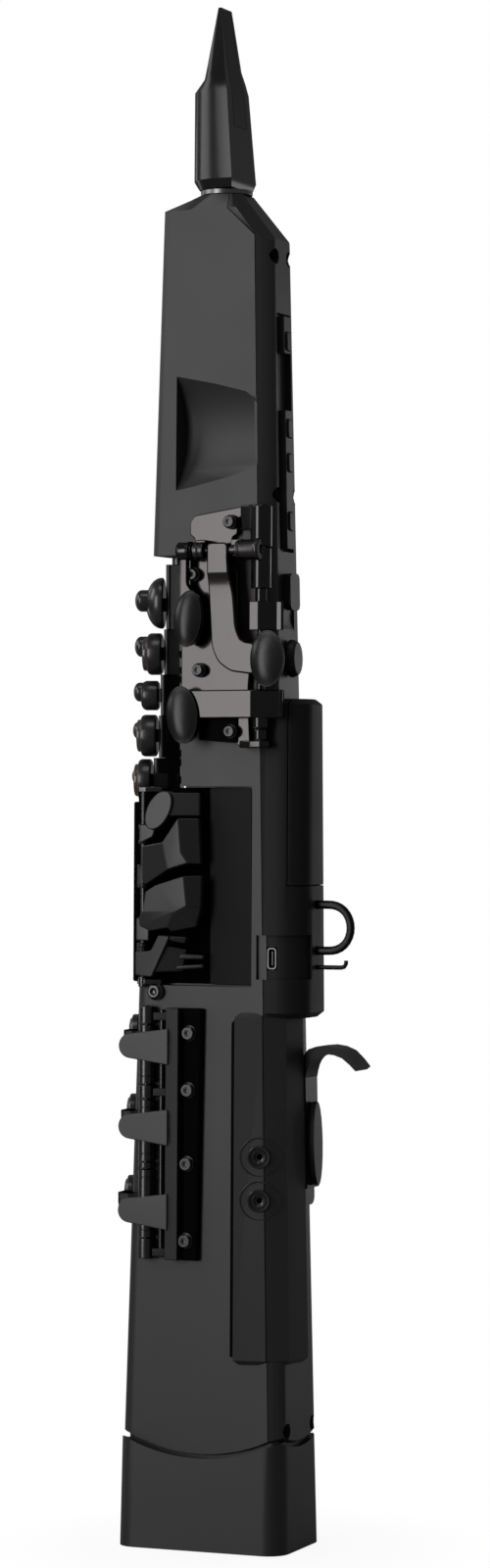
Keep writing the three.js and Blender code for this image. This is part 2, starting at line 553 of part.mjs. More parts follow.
// Front shell: the key side and both flanks, up to the seam
const rodSeats = [[bay.lowLevel - upperRod.seat - wall, bay.lowLevel], [bay.topLevel, bay.topLevel + upperRod.seat + wall]].map(([low, high]) => barUp(
  upperRod.tubeRadius + wall, low, high).translate(upperRod.x, upperRod.depth, 0));
const frontRoom = cut(join(cut(inside, ...hollows(wall)), jackHousing(wall)), ...rodSeats, grooveCut(wall));
part('front_shell', cut(
  common(join(outside, jackHousing(0)), beforeSeam(-clearance / 2)),
  frontRoom, ...hollows(0), underDome(0), neckHole, rodHole, grooveCut(0), jackHole(0), jackHole(1),
), blackPlastic);

// Rear shell: the thumb side with the bulge's fixed part, the strap block and the hook's pad
const hookPad = block(-thumbHook.plateHalf, thumbHook.plateHalf, -wall, thumbHook.padProud, thumbHook.plateLow, thumbHook.plateTop)
  .applyMatrix4(rearMatrix(thumbHook.level, thumbHook.offset));
const strapBlock = block(-strapCore.halfWidth, strapCore.halfWidth, strapCore.rootDepth, bulge.depth - bulge.wall / 2, strapCore.lowLevel, strapCore.topLevel);
const wells = well.levels.flatMap((level) => wellShape(level, well.radius, well.depth));
const bosses = well.levels.flatMap((level) => wellShape(level, well.radius + well.wall, well.bossDepth));

function thumbScoopCut(grow) {
  const tool = new THREE.CylinderGeometry(thumbScoop.radius + grow, thumbScoop.radius + grow, 2 * (thumbScoop.half + grow), 3 * roundSides).rotateZ(Math.PI / 2);
  return tool.translate(0, thumbScoop.radius - thumbScoop.sink, 0).applyMatrix4(rearMatrix(thumbScoop.level));
}

function buttonSeat(level, grow) {
  const half = button.wide + clearance + grow;
  const tall = button.tall + clearance + grow;
  return block(-half, half, button.seat - grow, 2 * overrun, -tall, tall).applyMatrix4(rearMatrix(level));
}

// A block on the rear face between two levels
function rearBlock(half, from, to, low, high) {
  const middle = (low + high) / 2;
  return block(-half, half, from, to, low - middle, high - middle).applyMatrix4(rearMatrix(middle));
}

function ringHoles() {
  const radius = strapRing.barRadius + clearance;
  const legs = [-strapRing.radius, strapRing.radius].map((rise) => barBack(radius, strapRing.rootDepth - clearance, bulge.depth + overrun)
    .translate(0, 0, strapRing.level + rise));
  return [...legs, barBack(cableHook.wireRadius + clearance, cableHook.rootDepth - clearance, bulge.depth + overrun).translate(0, 0, cableHook.level)];
}

const usbX = sizeAt(usb.level).seamHalf - bulge.flush - groove.sink;
const usbHole = block(
  usbX - usb.length - clearance, usbX + overrun, usb.depth - usb.width / 2 - clearance, usb.depth + usb.width / 2 + clearance,
  usb.level - usb.height / 2 - clearance, usb.level + usb.height / 2 + clearance);
const troughCut = (grow) => rearBlock(trough.half + grow, -trough.sink - grow, overrun, trough.low - grow, trough.high + grow);
const ribs = trough.ribs.map(([low, high]) => rearBlock(trough.ribHalf, -trough.sink - wall / 2, trough.ribRise, low, high));
const rearRoom = cut(
  join(inside, jackHousing(wall), bulgeSolid(bulge.wall)),
  strapBlock, thumbScoopCut(wall / 2), troughCut(bulge.wall), grooveCut(bulge.wall), ...bosses);
part('rear_shell', cut(
  join(cut(join(outside, jackHousing(0), bulgeSolid(0), hookPad), troughCut(0)), ...ribs),
  beforeSeam(clearance / 2), rearRoom, coverZone(0), underDome(0), neckHole, thumbScoopCut(0), grooveCut(0), usbHole,
  ...wells, ...ringHoles(), jackHole(0), jackHole(1), ...Object.values(buttonLevels).map((level) => buttonSeat(level, 0)),
), blackPlastic);

// Battery cover over the bulge, open towards the cells
part('battery_cover', cut(common(bulgeSolid(0), coverZone(clearance)), bulgeSolid(bulge.wall)), blackPlastic);

// Bell: the open cup, the collar inside the body's foot and the deck under the speaker
function bellRing(level, grow) {
  const share = level / bell.height;
  const halfX = mix(bell.halfWidth, bell.topHalfWidth, share) + grow;
  const halfY = mix(bell.halfDepth, bell.topHalfDepth, share) + grow;
  return ringAt(roundedRectangle(halfX, halfY, bell.radius + grow), level);
}

function bellSolid() {
  const cupSolid = common(loft([bellRing(0, 0), bellRing(bell.height, 0)]), underDome(bell.gap));
  const collarGrow = -wall - clearance;
  const collarRings = (low, high, grow) => loft([ringAt(section(low, grow), low), ringAt(section(high, grow), high)]);
  const collar = collarRings(bell.collarFoot, bell.collarTop, collarGrow);
  const lowRoom = loft([bellRing(-overrun, -bell.wall), bellRing(bell.roomLevel, -bell.wall)]);
  const highRoom = collarRings(bell.collarFoot, bell.collarTop - bell.deck, collarGrow - bell.collarWall);
  const notches = wellShape(well.levels[2], well.radius + well.wall + clearance, well.bossDepth + clearance);
  return cut(join(cupSolid, collar), lowRoom, highRoom, ...notches, barUp(bell.soundHole, bell.roomLevel, bell.collarTop + overrun, roundSides));
}
part('bell', bellSolid(), blackPlastic);

const speakerTop = speaker.rimHeight + speaker.coneHeight;
part('speaker', lathe([
  [0, 0], [speaker.radius, 0], [speaker.radius, speaker.rimHeight], [speaker.magnetRadius, speakerTop],
  [speaker.magnetRadius, speakerTop + speaker.magnetHeight], [0, speakerTop + speaker.magnetHeight],
]), steel).position.set(0, 0, bell.collarTop + clearance);

// Neck tenon with its flange under the shells' top, then the ring and the cork
const flangeTop = body.topLevel - wall - clearance;
part('neck_tenon', cut(
  lathe([
    [0, flangeTop - neck.flangeHeight], [neck.flangeRadius, flangeTop - neck.flangeHeight], [neck.flangeRadius, flangeTop],
    [neck.tenonRadius, flangeTop], [neck.tenonRadius, neck.topLevel], [0, neck.topLevel],
  ]),
  barUp(neck.boreRadius, flangeTop - neck.flangeHeight - overrun, neck.topLevel + overrun),
), blackPlastic).position.set(0, neck.depth, 0);
const ringLow = body.topLevel + clearance;
part('neck_ring', sleeve(neck.ringRadius, neck.tenonRadius + clearance, ringLow, ringLow + neck.ringHeight), steel).position.set(0, neck.depth, 0);
const corkTop = neck.topLevel - clearance;
part('neck_cork', sleeve(neck.corkRadius, neck.tenonRadius + clearance, corkTop - neck.corkHeight, corkTop), corkTan).position.set(0, neck.depth, 0);

// Mouthpiece: D-shaped sections, flat towards the reed, and the reed in its pocket
function beakRing({ level, half, table, front, roundShare }) {
  return arc(0, 0, 1, 0, 180, 2 * arcSteps + 4).reverse().map((point) => {
    const lean = Math.sign(point.x) * Math.abs(point.x) ** roundShare;
    return vector(half * lean, table + (front - table) * Math.abs(point.y) ** roundShare, level);
  });
}

function tableAt(level) {
  const above = beakSections.findIndex((ring) => ring.level >= level);
  const high = beakSections[above];
  const low = beakSections[above - 1];
  return mix(low.table, high.table, (level - low.level) / (high.level - low.level));
}

function reedSolid(grow, lift) {
  const levels = [reed.heelLevel, ...beakSections.map((ring) => ring.level).filter((level) => level > reed.heelLevel && level < reed.tipLevel), reed.tipLevel];
  return loft(levels.map((level, number) => {
    const share = (level - reed.heelLevel) / (reed.tipLevel - reed.heelLevel);
    const half = mix(reed.heelHalf, reed.tipHalf, share) + grow;
    const face = tableAt(level);
    const back = face - mix(reed.heelThickness, reed.tipThickness, share) - grow;
    const end = number === 0 ? -grow : (number === levels.length - 1 ? grow : 0);
    return ringAt(planar([[half, back], [half, face + lift], [-half, face + lift], [-half, back]]), level + end);
  }));
}

const beakBore = join(
  barUp(neck.corkRadius + clearance, beak.footLevel - overrun, beak.boreTop, roundSides),
  barUp(neck.boreRadius, beak.boreTop - overrun, beak.airTop),
).translate([0, neck.depth, 0]);
part('mouthpiece', cut(loft(beakSections.map(beakRing)), beakBore, reedSolid(clearance, overrun)), glossPlastic);
part('reed', reedSolid(0, 0), blackPlastic);

// Circuit board and breath sensor
const boardFront = bay.floorDepth + wall + board.gap;
part('circuit_board', block(-board.half, board.half, boardFront, boardFront + board.thickness, board.low, board.high), boardGreen);
const sensorFront = boardFront + board.thickness + clearance;
part('breath_sensor', block(-sensor.half, sensor.half, sensorFront, sensorFront + sensor.depth, sensor.top - sensor.height, sensor.top), greyPlastic);

// Battery tray and four cells
const cellFront = cell.frontDepth - cell.radius - clearance;
const trayLow = cell.level - clearance - tray.end;
const trayHigh = cell.level + cell.length + cell.nubHeight + clearance;
part('battery_tray', join(
  block(-tray.halfWidth, tray.halfWidth, cellFront - tray.back, cellFront, trayLow, trayHigh + tray.end),
  block(-tray.halfWidth, tray.halfWidth, cellFront - tray.back, tray.reach, trayLow, trayLow + tray.end),
  block(-tray.halfWidth, tray.halfWidth, cellFront - tray.back, tray.reach, trayHigh, trayHigh + tray.end),
), blackPlastic);
[cell.frontDepth, cell.rearDepth].flatMap((depth) => [[-cell.offset, depth], [cell.offset, depth]]).forEach(([x, depth], number) => {
  const shape = lathe([
    [0, 0], [cell.radius, 0], [cell.radius, cell.length], [cell.nubRadius, cell.length],
    [cell.nubRadius, cell.length + cell.nubHeight], [0, cell.length + cell.nubHeight],
  ], smallSides);
  part(`battery_cell_${number + 1}`, shape, cellSleeve).position.set(x, depth, cell.level);
});

// Charging socket and jacks
part('usb_port', cut(
  block(-usb.length, 0, -usb.width / 2, usb.width / 2, -usb.height / 2, usb.height / 2),
  block(usb.lip - usb.length, overrun, usb.lip - usb.width / 2, usb.width / 2 - usb.lip, usb.lip - usb.height / 2, usb.height / 2 - usb.lip),
), steel).position.set(usbX, usb.depth, usb.level);
['headphone_jack', 'aux_jack'].forEach((name, number) => {
  const head = clearance + jack.flange;
  part(name, lathe([
    [0, -jack.length], [jack.bodyRadius, -jack.length], [jack.bodyRadius, clearance], [jack.radius, clearance], [jack.radius, head],
    [jack.boreRadius, head], [jack.boreRadius, -jack.boreDepth], [0, -jack.boreDepth],
  ]).rotateY(Math.PI / 2), glossPlastic, place(jackMatrix(number)));
});

// Strap ring and cable hook, round bar along a path
function bentBar(pieces, radius, sides, steps) {
  const path = new THREE.CurvePath();
  pieces.forEach((piece) => path.add(piece));
  return new THREE.ExtrudeGeometry(new THREE.Shape(oval(radius, radius, sides)), { extrudePath: path, steps, bevelEnabled: false });
}

const ringPoint = (depth, rise) => vector(0, depth, strapRing.level + rise);
const roundShare = 4 / 3;
const ringPull = strapRing.straightDepth + strapRing.radius * roundShare;
part('strap_ring', bentBar([
  new THREE.LineCurve3(ringPoint(strapRing.rootDepth, -strapRing.radius), ringPoint(strapRing.straightDepth, -strapRing.radius)),
  new THREE.CubicBezierCurve3(
    ringPoint(strapRing.straightDepth, -strapRing.radius), ringPoint(ringPull, -strapRing.radius),
    ringPoint(ringPull, strapRing.radius), ringPoint(strapRing.straightDepth, strapRing.radius)),
  new THREE.LineCurve3(ringPoint(strapRing.straightDepth, strapRing.radius), ringPoint(strapRing.rootDepth, strapRing.radius)),
], strapRing.barRadius, 10, 28), darkMetal);
const hookPoint = (depth, rise) => vector(0, depth, cableHook.level + rise);
part('cable_hook', bentBar([
  new THREE.LineCurve3(hookPoint(cableHook.rootDepth, 0), hookPoint(cableHook.bendDepth, 0)),
  new THREE.QuadraticBezierCurve3(
    hookPoint(cableHook.bendDepth, 0), hookPoint(cableHook.bendDepth + cableHook.bend, 0), hookPoint(cableHook.bendDepth + cableHook.bend, cableHook.bend)),
  new THREE.LineCurve3(
    hookPoint(cableHook.bendDepth + cableHook.bend, cableHook.bend), hookPoint(cableHook.bendDepth + cableHook.bend, cableHook.bend + cableHook.tip)),
], cableHook.wireRadius, 8, 14), darkMetal);

// Thumb hook, its plate and the screw that clamps it
const hookPlace = place(rearMatrix(thumbHook.level, thumbHook.offset));
const plateStart = thumbHook.padProud + clearance;
const stemStart = plateStart + thumbHook.plateThickness + clearance;
const capStart = stemStart + thumbHook.stemThickness + clearance;
const standing = (outline, thickness) => slab(outline, thickness).rotateX(Math.PI / 2).translate(0, thickness, 0);
const plateMiddle = (thumbHook.plateLow + thumbHook.plateTop) / 2;
part('thumb_hook_plate', cut(
  standing(roundedRectangle(thumbHook.plateHalf, (thumbHook.plateTop - thumbHook.plateLow) / 2, thumbHook.plateHalf / 2), thumbHook.plateThickness)
    .translate(0, plateStart, plateMiddle),
  barBack(thumbHook.shankRadius + clearance, 0, stemStart + overrun).translate(0, 0, thumbHook.shankLevel),
), darkMetal, hookPlace);

function hookSolid() {
  const along = (points) => new THREE.SplineCurve(planar(points)).getPoints(10);
  const bow = sideways([...along(hookOuter), ...along(hookInner)], -thumbHook.plateHalf, thumbHook.plateHalf);
  const lowest = hookInner[hookInner.length - 1][1];
  const stem = block(-thumbHook.stemHalf, thumbHook.stemHalf, stemStart, stemStart + thumbHook.stemThickness, thumbHook.stemLow, lowest + overrun);
  const slot = block(-thumbHook.slotHalf, thumbHook.slotHalf, stemStart - overrun, capStart, thumbHook.slotLow, thumbHook.slotTop);
  return cut(join(stem, bow), slot);
}
part('thumb_hook', hookSolid(), glossPlastic, hookPlace);
part('thumb_hook_screw', join(
  standing(oval(thumbHook.capHalf, thumbHook.capTall), thumbHook.capThickness).translate(0, capStart, thumbHook.shankLevel),
  barBack(thumbHook.shankRadius, plateStart, capStart + clearance).translate(0, 0, thumbHook.shankLevel),
), blackPlastic, hookPlace);

// Upper stack: the rod between the bay's ends and five keys that turn on it
part('upper_key_rod', barUp(upperRod.radius, bay.lowLevel - upperRod.seat, bay.topLevel + upperRod.seat), darkMetal)
  .position.set(upperRod.x, upperRod.depth, 0);
for (const [name, key] of Object.entries(upperKeys)) {
  const half = key.radius - clearance;
  const stand = (profile, sides) => lathe(profile, sides).rotateX(Math.PI / 2);
  const dish = stand([
    [0, key.back], [key.radius, key.back], [key.radius, key.rim], [key.faceRadius, key.rim], [key.faceRadius, key.face - clearance],
    [key.faceRadius - clearance, key.face], [0, key.face],
  ]);
  const knob = new THREE.SphereGeometry(key.knobRadius, smallSides, smallSides / 2).translate(0, key.knobRadius - key.tip, key.knobShift);
  const arm = block(upperRod.x, 0, -key.back - clearance, upperRod.depth + upperRod.radius, -upperRod.armHalf, upperRod.armHalf);
  const tube = barUp(upperRod.tubeRadius, -half, half).translate(upperRod.x, upperRod.depth, 0);
  const hole = barUp(upperRod.radius + clearance, -2 * half, 2 * half).translate(upperRod.x, upperRod.depth, 0);
  part(name, cut(join(dish, knob, arm, tube), hole), glossPlastic).position.set(0, 0, key.level);
}

// Palm keys: plate with the cross pivot, the upright rod, and three keys
const palmPlace = place(sideMatrix(palm.level, palm.depth));
const plateOutline = planar([
  [palmPlate.front, palmPlate.low], [palmPlate.rear, palmPlate.low], [palmPlate.rear, palmPlate.high],
  [palmPlate.front + palmPlate.cutBack, palmPlate.high], [palmPlate.front, palmPlate.high - palmPlate.cutDown],
]);
const rodLugs = [palmRod.low, palmRod.high - palmRod.lug].map((low) => block(
  palmPlate.rise, palmRod.out + palmRod.tubeRadius, palmPlate.rear - overrun, palmPlate.lugReach, low, low + palmRod.lug));
const pivotLugs = palmPivot.lugs.map(([front, rear]) => join(
  block(palmPlate.rise, palmPivot.out, front, rear, palmPivot.up - palmPivot.tubeRadius, palmPivot.up + palmPivot.tubeRadius),
  barBack(palmPivot.tubeRadius, front, rear).translate(palmPivot.out, 0, palmPivot.up)));
const screwHeads = palmScrews.map(([back, up]) => cut(
  barOut(palmPlate.screwRadius, palmPlate.rise, palmPlate.screwTop, roundSides),
  barOut(palmPlate.socketRadius, palmPlate.screwTop - palmPlate.socketDepth, palmPlate.screwTop + overrun, 6),
).translate([0, back, up]));
part('palm_key_plate', cut(
  join(
    sideways(plateOutline, palmPlate.rise, palmPlate.top), ...rodLugs, ...pivotLugs, ...screwHeads,
    barBack(palmPivot.radius, palmPivot.front, palmPivot.rear).translate(palmPivot.out, 0, palmPivot.up),
    barBack(palmPivot.tubeRadius, palmPivot.lugs[1][0], palmPivot.rear).translate(palmPivot.out, 0, palmPivot.up)),
  barUp(palmRod.radius + clearance, palmRod.low - overrun, palmRod.high + overrun).translate(palmRod.out, palmRod.back, 0),
), darkMetal, palmPlace);
part('palm_key_rod', join(
  barUp(palmRod.radius, palmRod.low, palmRod.high),
  barUp(palmRod.tubeRadius, palmRod.low + palmRod.lug + clearance, palmRod.footTop),
  barUp(palmRod.tubeRadius, palmRod.sleeveLow, palmRod.sleeveTop - clearance),
  block(palmRod.collarInner, palmRod.collarOuter, palmRod.collarFront, palmRod.collarRear, palmRod.collarLow, palmRod.collarTop),
), darkMetal, palmPlace).position.set(palmRod.out, palmRod.back, 0);

// An oval touch that faces out of the side
function touchPad({ tall, wide, thickness, edgeShare }) {
  const ring = (share, level) => ringAt(oval(tall * share, wide * share, roundSides - 4), level);
  return loft([ring(edgeShare, 0), ring(1, thickness / 2), ring(edgeShare, thickness)]).rotateY(Math.PI / 2);
}

for (const [name, key] of Object.entries(palmKeys)) {
  const upright = key.tubeUp !== undefined;
  const tube = upright
    ? barUp(palmRod.tubeRadius, ...key.tubeUp).translate(palmRod.out, palmRod.back, 0)
    : barBack(palmPivot.tubeRadius, ...key.tube).translate(palmPivot.out, 0, palmPivot.up);
  const hole = upright
    ? barUp(palmRod.radius + clearance, palmRod.low, palmRod.high).translate(palmRod.out, palmRod.back, 0)
    : barBack(palmPivot.radius + clearance, palmPivot.front, palmPivot.rear).translate(palmPivot.out, 0, palmPivot.up);
  const pieces = [tube, touchPad(palmTouch).translate(...key.touch), ...key.blocks.map((sides) => block(...sides))];
  if (key.strap) pieces.push(sideways(planar(key.strap), palmStrap.inner, palmStrap.outer));
  part(name, cut(join(...pieces), hole), glossPlastic, palmPlace);
}

// Little-finger keys over the side pocket
const pinkyPlace = place(sideMatrix(pinky.level, pinky.depth));
const postSpans = [[pinkyRod.low, pinkyRod.low + pinkyRod.postHeight], [pinkyRod.high - pinkyRod.postHeight, pinkyRod.high]];
part('pinky_key_rod', join(
  barUp(pinkyRod.radius, pinkyRod.low, pinkyRod.high).translate(pinkyRod.out, pinkyRod.back, 0),
  ...postSpans.map(([low, high]) => block(pinkyRod.postRoot, pinkyRod.postOut, pinkyRod.back - pinkyRod.radius, pinkyRod.postBack, low, high)),
), darkMetal, pinkyPlace);
const pinkyHole = barUp(pinkyRod.radius + clearance, pinkyRod.low, pinkyRod.high).translate(pinkyRod.out, pinkyRod.back, 0);
const pinkyReach = Math.max(...pinkyPlan.map(([out]) => out)) + overrun;
for (const [name, outline] of Object.entries(pinkyKeys)) {
  const curve = slab(planar(pinkyPlan), pinkyRod.high - pinkyRod.low).translate(0, 0, pinkyRod.low);
  part(name, cut(common(curve, sideways(planar(outline), 0, pinkyReach)), pinkyHole), glossPlastic, pinkyPlace);
}

// Lower stack: side plate with screws, guard strip with three wings, rod and three keys
const lowerPlace = place(sideMatrix(lower.level, lower.depth));
part('side_plate', join(
  block(clearance, sidePlate.top, sidePlate.front, sidePlate.rear, sidePlate.low, sidePlate.high),
  ...sidePlate.screwUps.map((up) => cut(
    barOut(sidePlate.screwRadius, clearance, sidePlate.screwTop, roundSides),
    barOut(sidePlate.socketRadius, sidePlate.screwTop - sidePlate.socketDepth, sidePlate.screwTop + overrun, 6),
  ).translate([0, sidePlate.screwBack, up])),
), darkMetal, lowerPlace);

function wing(up) {
  const tip = arc(guard.reach + guard.tipHalf, 0, guard.tipHalf, 110, 250);
  const outline = [new THREE.Vector2(guard.front + clearance, guard.rootHalf), ...tip, new THREE.Vector2(guard.front + clearance, -guard.rootHalf)];
  return sideways(outline, guard.top - guard.wingThickness, guard.top).translate(0, 0, up);
}
const notches = wingUps.map((up) => block(
  guard.top - guard.notch, guard.top + overrun, guard.front - overrun, (guard.front + guard.rear) / 2, up - guard.rootHalf - guard.notch, up - guard.rootHalf));
part('guard_strip', join(
  cut(block(clearance, guard.top, guard.front, guard.rear, sidePlate.low, sidePlate.high), ...notches), ...wingUps.map(wing),
), greyPlastic, lowerPlace);

// The rod's own frame: Z along the rod, X to the left and Y to the rear
const rodOrigin = vector(lowerRod.out, lowerRod.back, 0).applyMatrix4(sideMatrix(lower.level, lower.depth));
const rodUp = vector(0, 0, 1).transformDirection(sideMatrix(lower.level, lower.depth));
const rodAcross = vector(0, 1, 0).cross(rodUp).normalize();
const rodPlace = place(new THREE.Matrix4().makeBasis(rodAcross, vector(0, 0, 0).crossVectors(rodUp, rodAcross), rodUp).setPosition(rodOrigin));
part('lower_key_rod', join(
  barUp(lowerRod.radius, lowerRod.low, lowerRod.high),
  barUp(lowerRod.tubeRadius, lowerRod.low, lowerRod.low + lowerRod.collarHeight),
  barUp(lowerRod.tubeRadius, lowerRod.high - lowerRod.collarHeight / 2, lowerRod.high),
), darkMetal, rodPlace);
for (const [name, key] of Object.entries(lowerKeys)) {
  const up = key.level - lower.level;
  const centre = -(rodOrigin.x + rodUp.x * up);
  const back = -(sizeAt(key.level).frontDepth + lowerCup.gap) - rodOrigin.y;
  const front = back - lowerCup.thickness;
  const dish = lathe([
    [0, -back], [lowerCup.radius, -back], [lowerCup.radius, -front], [lowerCup.pearlRadius, -front],
    [lowerCup.pearlRadius - lowerCup.pearlHeight, lowerCup.pearlHeight - front], [0, lowerCup.pearlHeight - front],
  ]).rotateX(Math.PI / 2).translate(centre, 0, 0);
  const bend = centre * lowerCup.cornerShare;
  const arm = slab(planar([
    [lowerRod.radius, 0], [-lowerRod.radius, 0], [-lowerRod.radius, back + lowerCup.armFront], [bend, back], [centre, back],
    [centre, front + clearance], [bend, front + clearance], [lowerRod.radius, back + lowerCup.armFront - lowerCup.thickness],
  ]), 2 * lowerCup.armHalf).translate(0, 0, -lowerCup.armHalf);
  const tube = barUp(lowerRod.tubeRadius, -key.tubeHalf, key.tubeHalf);
  const hole = barUp(lowerRod.radius + clearance, -2 * key.tubeHalf, 2 * key.tubeHalf);
  part(name, cut(join(dish, arm, tube), hole), glossPlastic, rodPlace).position.set(0, 0, up);
}

// Right side: one long rod with lugs, three side keys and two low keys
const rightPlace = place(sideMatrix(right.level, right.depth, -1));
const lugLevels = [rightRod.low, (rightRod.low + rightRod.high) / 2, rightRod.high - rightRod.lug];
part('right_key_rod', join(
  barUp(rightRod.radius, rightRod.low, rightRod.high).translate(rightRod.out, 0, 0),
  ...lugLevels.map((low) => block(clearance, rightRod.out + rightRod.radius, -rightRod.radius, rightRod.radius, low, low + rightRod.lug)),
), darkMetal, rightPlace);
for (const [name, key] of Object.entries(rightKeys)) {
  const outline = roundedRectangle(key.half, (key.to - key.from) / 2, key.half / 2);
  const touch = slab(outline, rightTouch.thickness).rotateY(Math.PI / 2).translate(rightTouch.out, (key.from + key.to) / 2, 0);
  const tube = barUp(rightRod.tubeRadius, -rightTouch.tubeHalf, rightTouch.tubeHalf).translate(rightRod.out, 0, 0);
  const hole = barUp(rightRod.radius + clearance, -2 * key.half, 2 * key.half).translate(rightRod.out, 0, 0);
  part(name, cut(join(touch, tube), hole), glossPlastic, rightPlace).position.set(0, 0, key.up);
}

// Thumb side: octave key, thumb controller and buttons
const octaveShape = join(
  standing(roundedRectangle(octave.half, (octave.high - octave.low) / 2, octave.half / 2), octave.thickness)
    .translate(0, octave.rise, (octave.high + octave.low) / 2),
  barOut(octave.pinOut - octave.rise, -octave.half - clearance, octave.half + clearance).translate(0, octave.pinOut, octave.pinUp));
part('octave_key', octaveShape, glossPlastic, place(rearMatrix(octave.level)));

function thumbDome() {
  const ring = (share, level) => ringAt(oval(thumbPad.wide * share, thumbPad.tall * share, roundSides - 4), level);
  return loft([ring(1, 0), ring(1, thumbPad.thickness / 2), ring(palmTouch.edgeShare, thumbPad.thickness)]).rotateX(-Math.PI / 2);
}
part('thumb_controller', thumbDome().translate(0, thumbPad.rise, 0), glossPlastic, place(rearMatrix(thumbPad.level)));

for (const [name, level] of Object.entries(buttonLevels)) {
  const shape = standing(roundedRectangle(button.wide, button.tall, button.wide / 2), button.rise - button.root - button.seat - clearance)
    .translate(0, button.seat + clearance + button.root, 0);
  part(name, shape, glossPlastic, place(rearMatrix(level)));
}

const bounds = new THREE.Box3().setFromObject(instrument);
const centre = bounds.getCenter(vector(0, 0, 0));
instrument.position.set(-centre.x, -centre.y, -bounds.min.z);
instrument.updateMatrixWorld(true);

export default instrument;
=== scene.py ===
import json
import math

import bmesh
import bpy
from mathutils import Matrix, Vector


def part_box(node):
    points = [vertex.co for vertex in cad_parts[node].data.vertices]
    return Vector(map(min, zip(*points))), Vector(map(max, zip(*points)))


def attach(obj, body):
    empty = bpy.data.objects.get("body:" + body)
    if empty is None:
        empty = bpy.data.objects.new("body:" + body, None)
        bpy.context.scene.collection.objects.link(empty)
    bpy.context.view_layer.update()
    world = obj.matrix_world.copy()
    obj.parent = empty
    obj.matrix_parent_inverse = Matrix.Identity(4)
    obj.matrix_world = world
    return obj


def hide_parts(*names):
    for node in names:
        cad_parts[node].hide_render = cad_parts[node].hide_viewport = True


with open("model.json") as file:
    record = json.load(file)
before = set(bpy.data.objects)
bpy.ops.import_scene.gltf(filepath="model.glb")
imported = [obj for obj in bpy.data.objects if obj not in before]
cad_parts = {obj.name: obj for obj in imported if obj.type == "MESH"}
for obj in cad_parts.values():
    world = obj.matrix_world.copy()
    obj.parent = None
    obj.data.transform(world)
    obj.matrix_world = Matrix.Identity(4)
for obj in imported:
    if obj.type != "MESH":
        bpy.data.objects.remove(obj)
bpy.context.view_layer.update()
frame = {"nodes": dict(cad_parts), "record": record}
body_of = {node: body for body, nodes in frame["record"]["behaviour"]["bodies"].items()
           for node in nodes}

# Studio
# A pale floor under the instrument, soft lamps on the key side, above, beside the mouthpiece and
# behind both flanks, and the camera, level with the instrument's middle and two metres away on
# the player's left.
camera_turn = math.radians(22.5)
camera_away, camera_aside, camera_level = 2.0, 0.01207, Vector((0, 0, 0.346))
bell_low, bell_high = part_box("bell")
stand = Vector(((bell_low.x + bell_high.x) / 2, (bell_low.y + bell_high.y) / 2, 0))
toward = Vector((math.cos(camera_turn), math.sin(camera_turn), 0))
aside = Vector((-toward.y, toward.x, 0))
camera = bpy.data.objects.new("camera", bpy.data.cameras.new("camera"))
camera.location = stand + toward * camera_away + aside * camera_aside + camera_level
camera.rotation_euler = (-toward).to_track_quat("-Z", "Y").to_euler()
camera.data.lens = 100.67
camera.data.sensor_width = 36
camera.data.clip_end = 30
bpy.context.scene.collection.objects.link(camera)
bpy.context.scene.camera = camera
bpy.context.scene.view_settings.view_transform = "Standard"


def softbox(name, turn, distance, height, width, tall, watts, aim=0.35):
    """A soft lamp, turned about the instrument from the camera's side toward the camera's right."""
    lamp = bpy.data.objects.new(name, bpy.data.lights.new(name, "AREA"))
    lamp.data.shape = "RECTANGLE"
    lamp.data.size = width
    lamp.data.size_y = tall
    lamp.data.energy = watts
    reach = toward * math.cos(math.radians(turn)) + aside * math.sin(math.radians(turn))
    lamp.location = stand + reach * distance + Vector((0, 0, height))
    beam = stand + Vector((0, 0, aim)) - lamp.location
    lamp.rotation_euler = beam.to_track_quat("-Z", "Y").to_euler()
    bpy.context.scene.collection.objects.link(lamp)


softbox("key_side_softbox", turn=-47, distance=1.9, height=0.5, width=0.7, tall=1.45, watts=16)
softbox("rear_edge_softbox", turn=138, distance=1.7, height=0.2, width=0.5, tall=1.1, watts=2.75)
softbox("front_edge_softbox", turn=-132, distance=1.7, height=0.5, width=0.4, tall=1.6, watts=2.5)
softbox("top_softbox", turn=-20, distance=0.9, height=2.2, width=0.8, tall=0.8, watts=4)
softbox("mouthpiece_softbox", turn=-90, distance=1.3, height=1.05, width=0.7, tall=0.7, watts=5,
        aim=0.64)

world = bpy.data.worlds.new("studio")
bpy.context.scene.world = world
world.use_nodes = True
wires, sky = world.node_tree.links, world.node_tree.nodes
path = sky.new("ShaderNodeLightPath")
seen = sky.new("ShaderNodeMath")
seen.operation = "MAXIMUM"
wires.new(path.outputs["Is Camera Ray"], seen.inputs[0])
wires.new(path.outputs["Is Transmission Ray"], seen.inputs[1])
room = sky.new("ShaderNodeBackground")
room.inputs["Color"].default_value = (0.16, 0.16, 0.165, 1)
white = sky.new("ShaderNodeBackground")
white.inputs["Color"].default_value = (1, 1, 1, 1)
whole = sky.new("ShaderNodeMixShader")
wires.new(seen.outputs[0], whole.inputs[0])
wires.new(room.outputs[0], whole.inputs[1])
wires.new(white.outputs[0], whole.inputs[2])
wires.new(whole.outputs[0], sky["World Output"].inputs["Surface"])

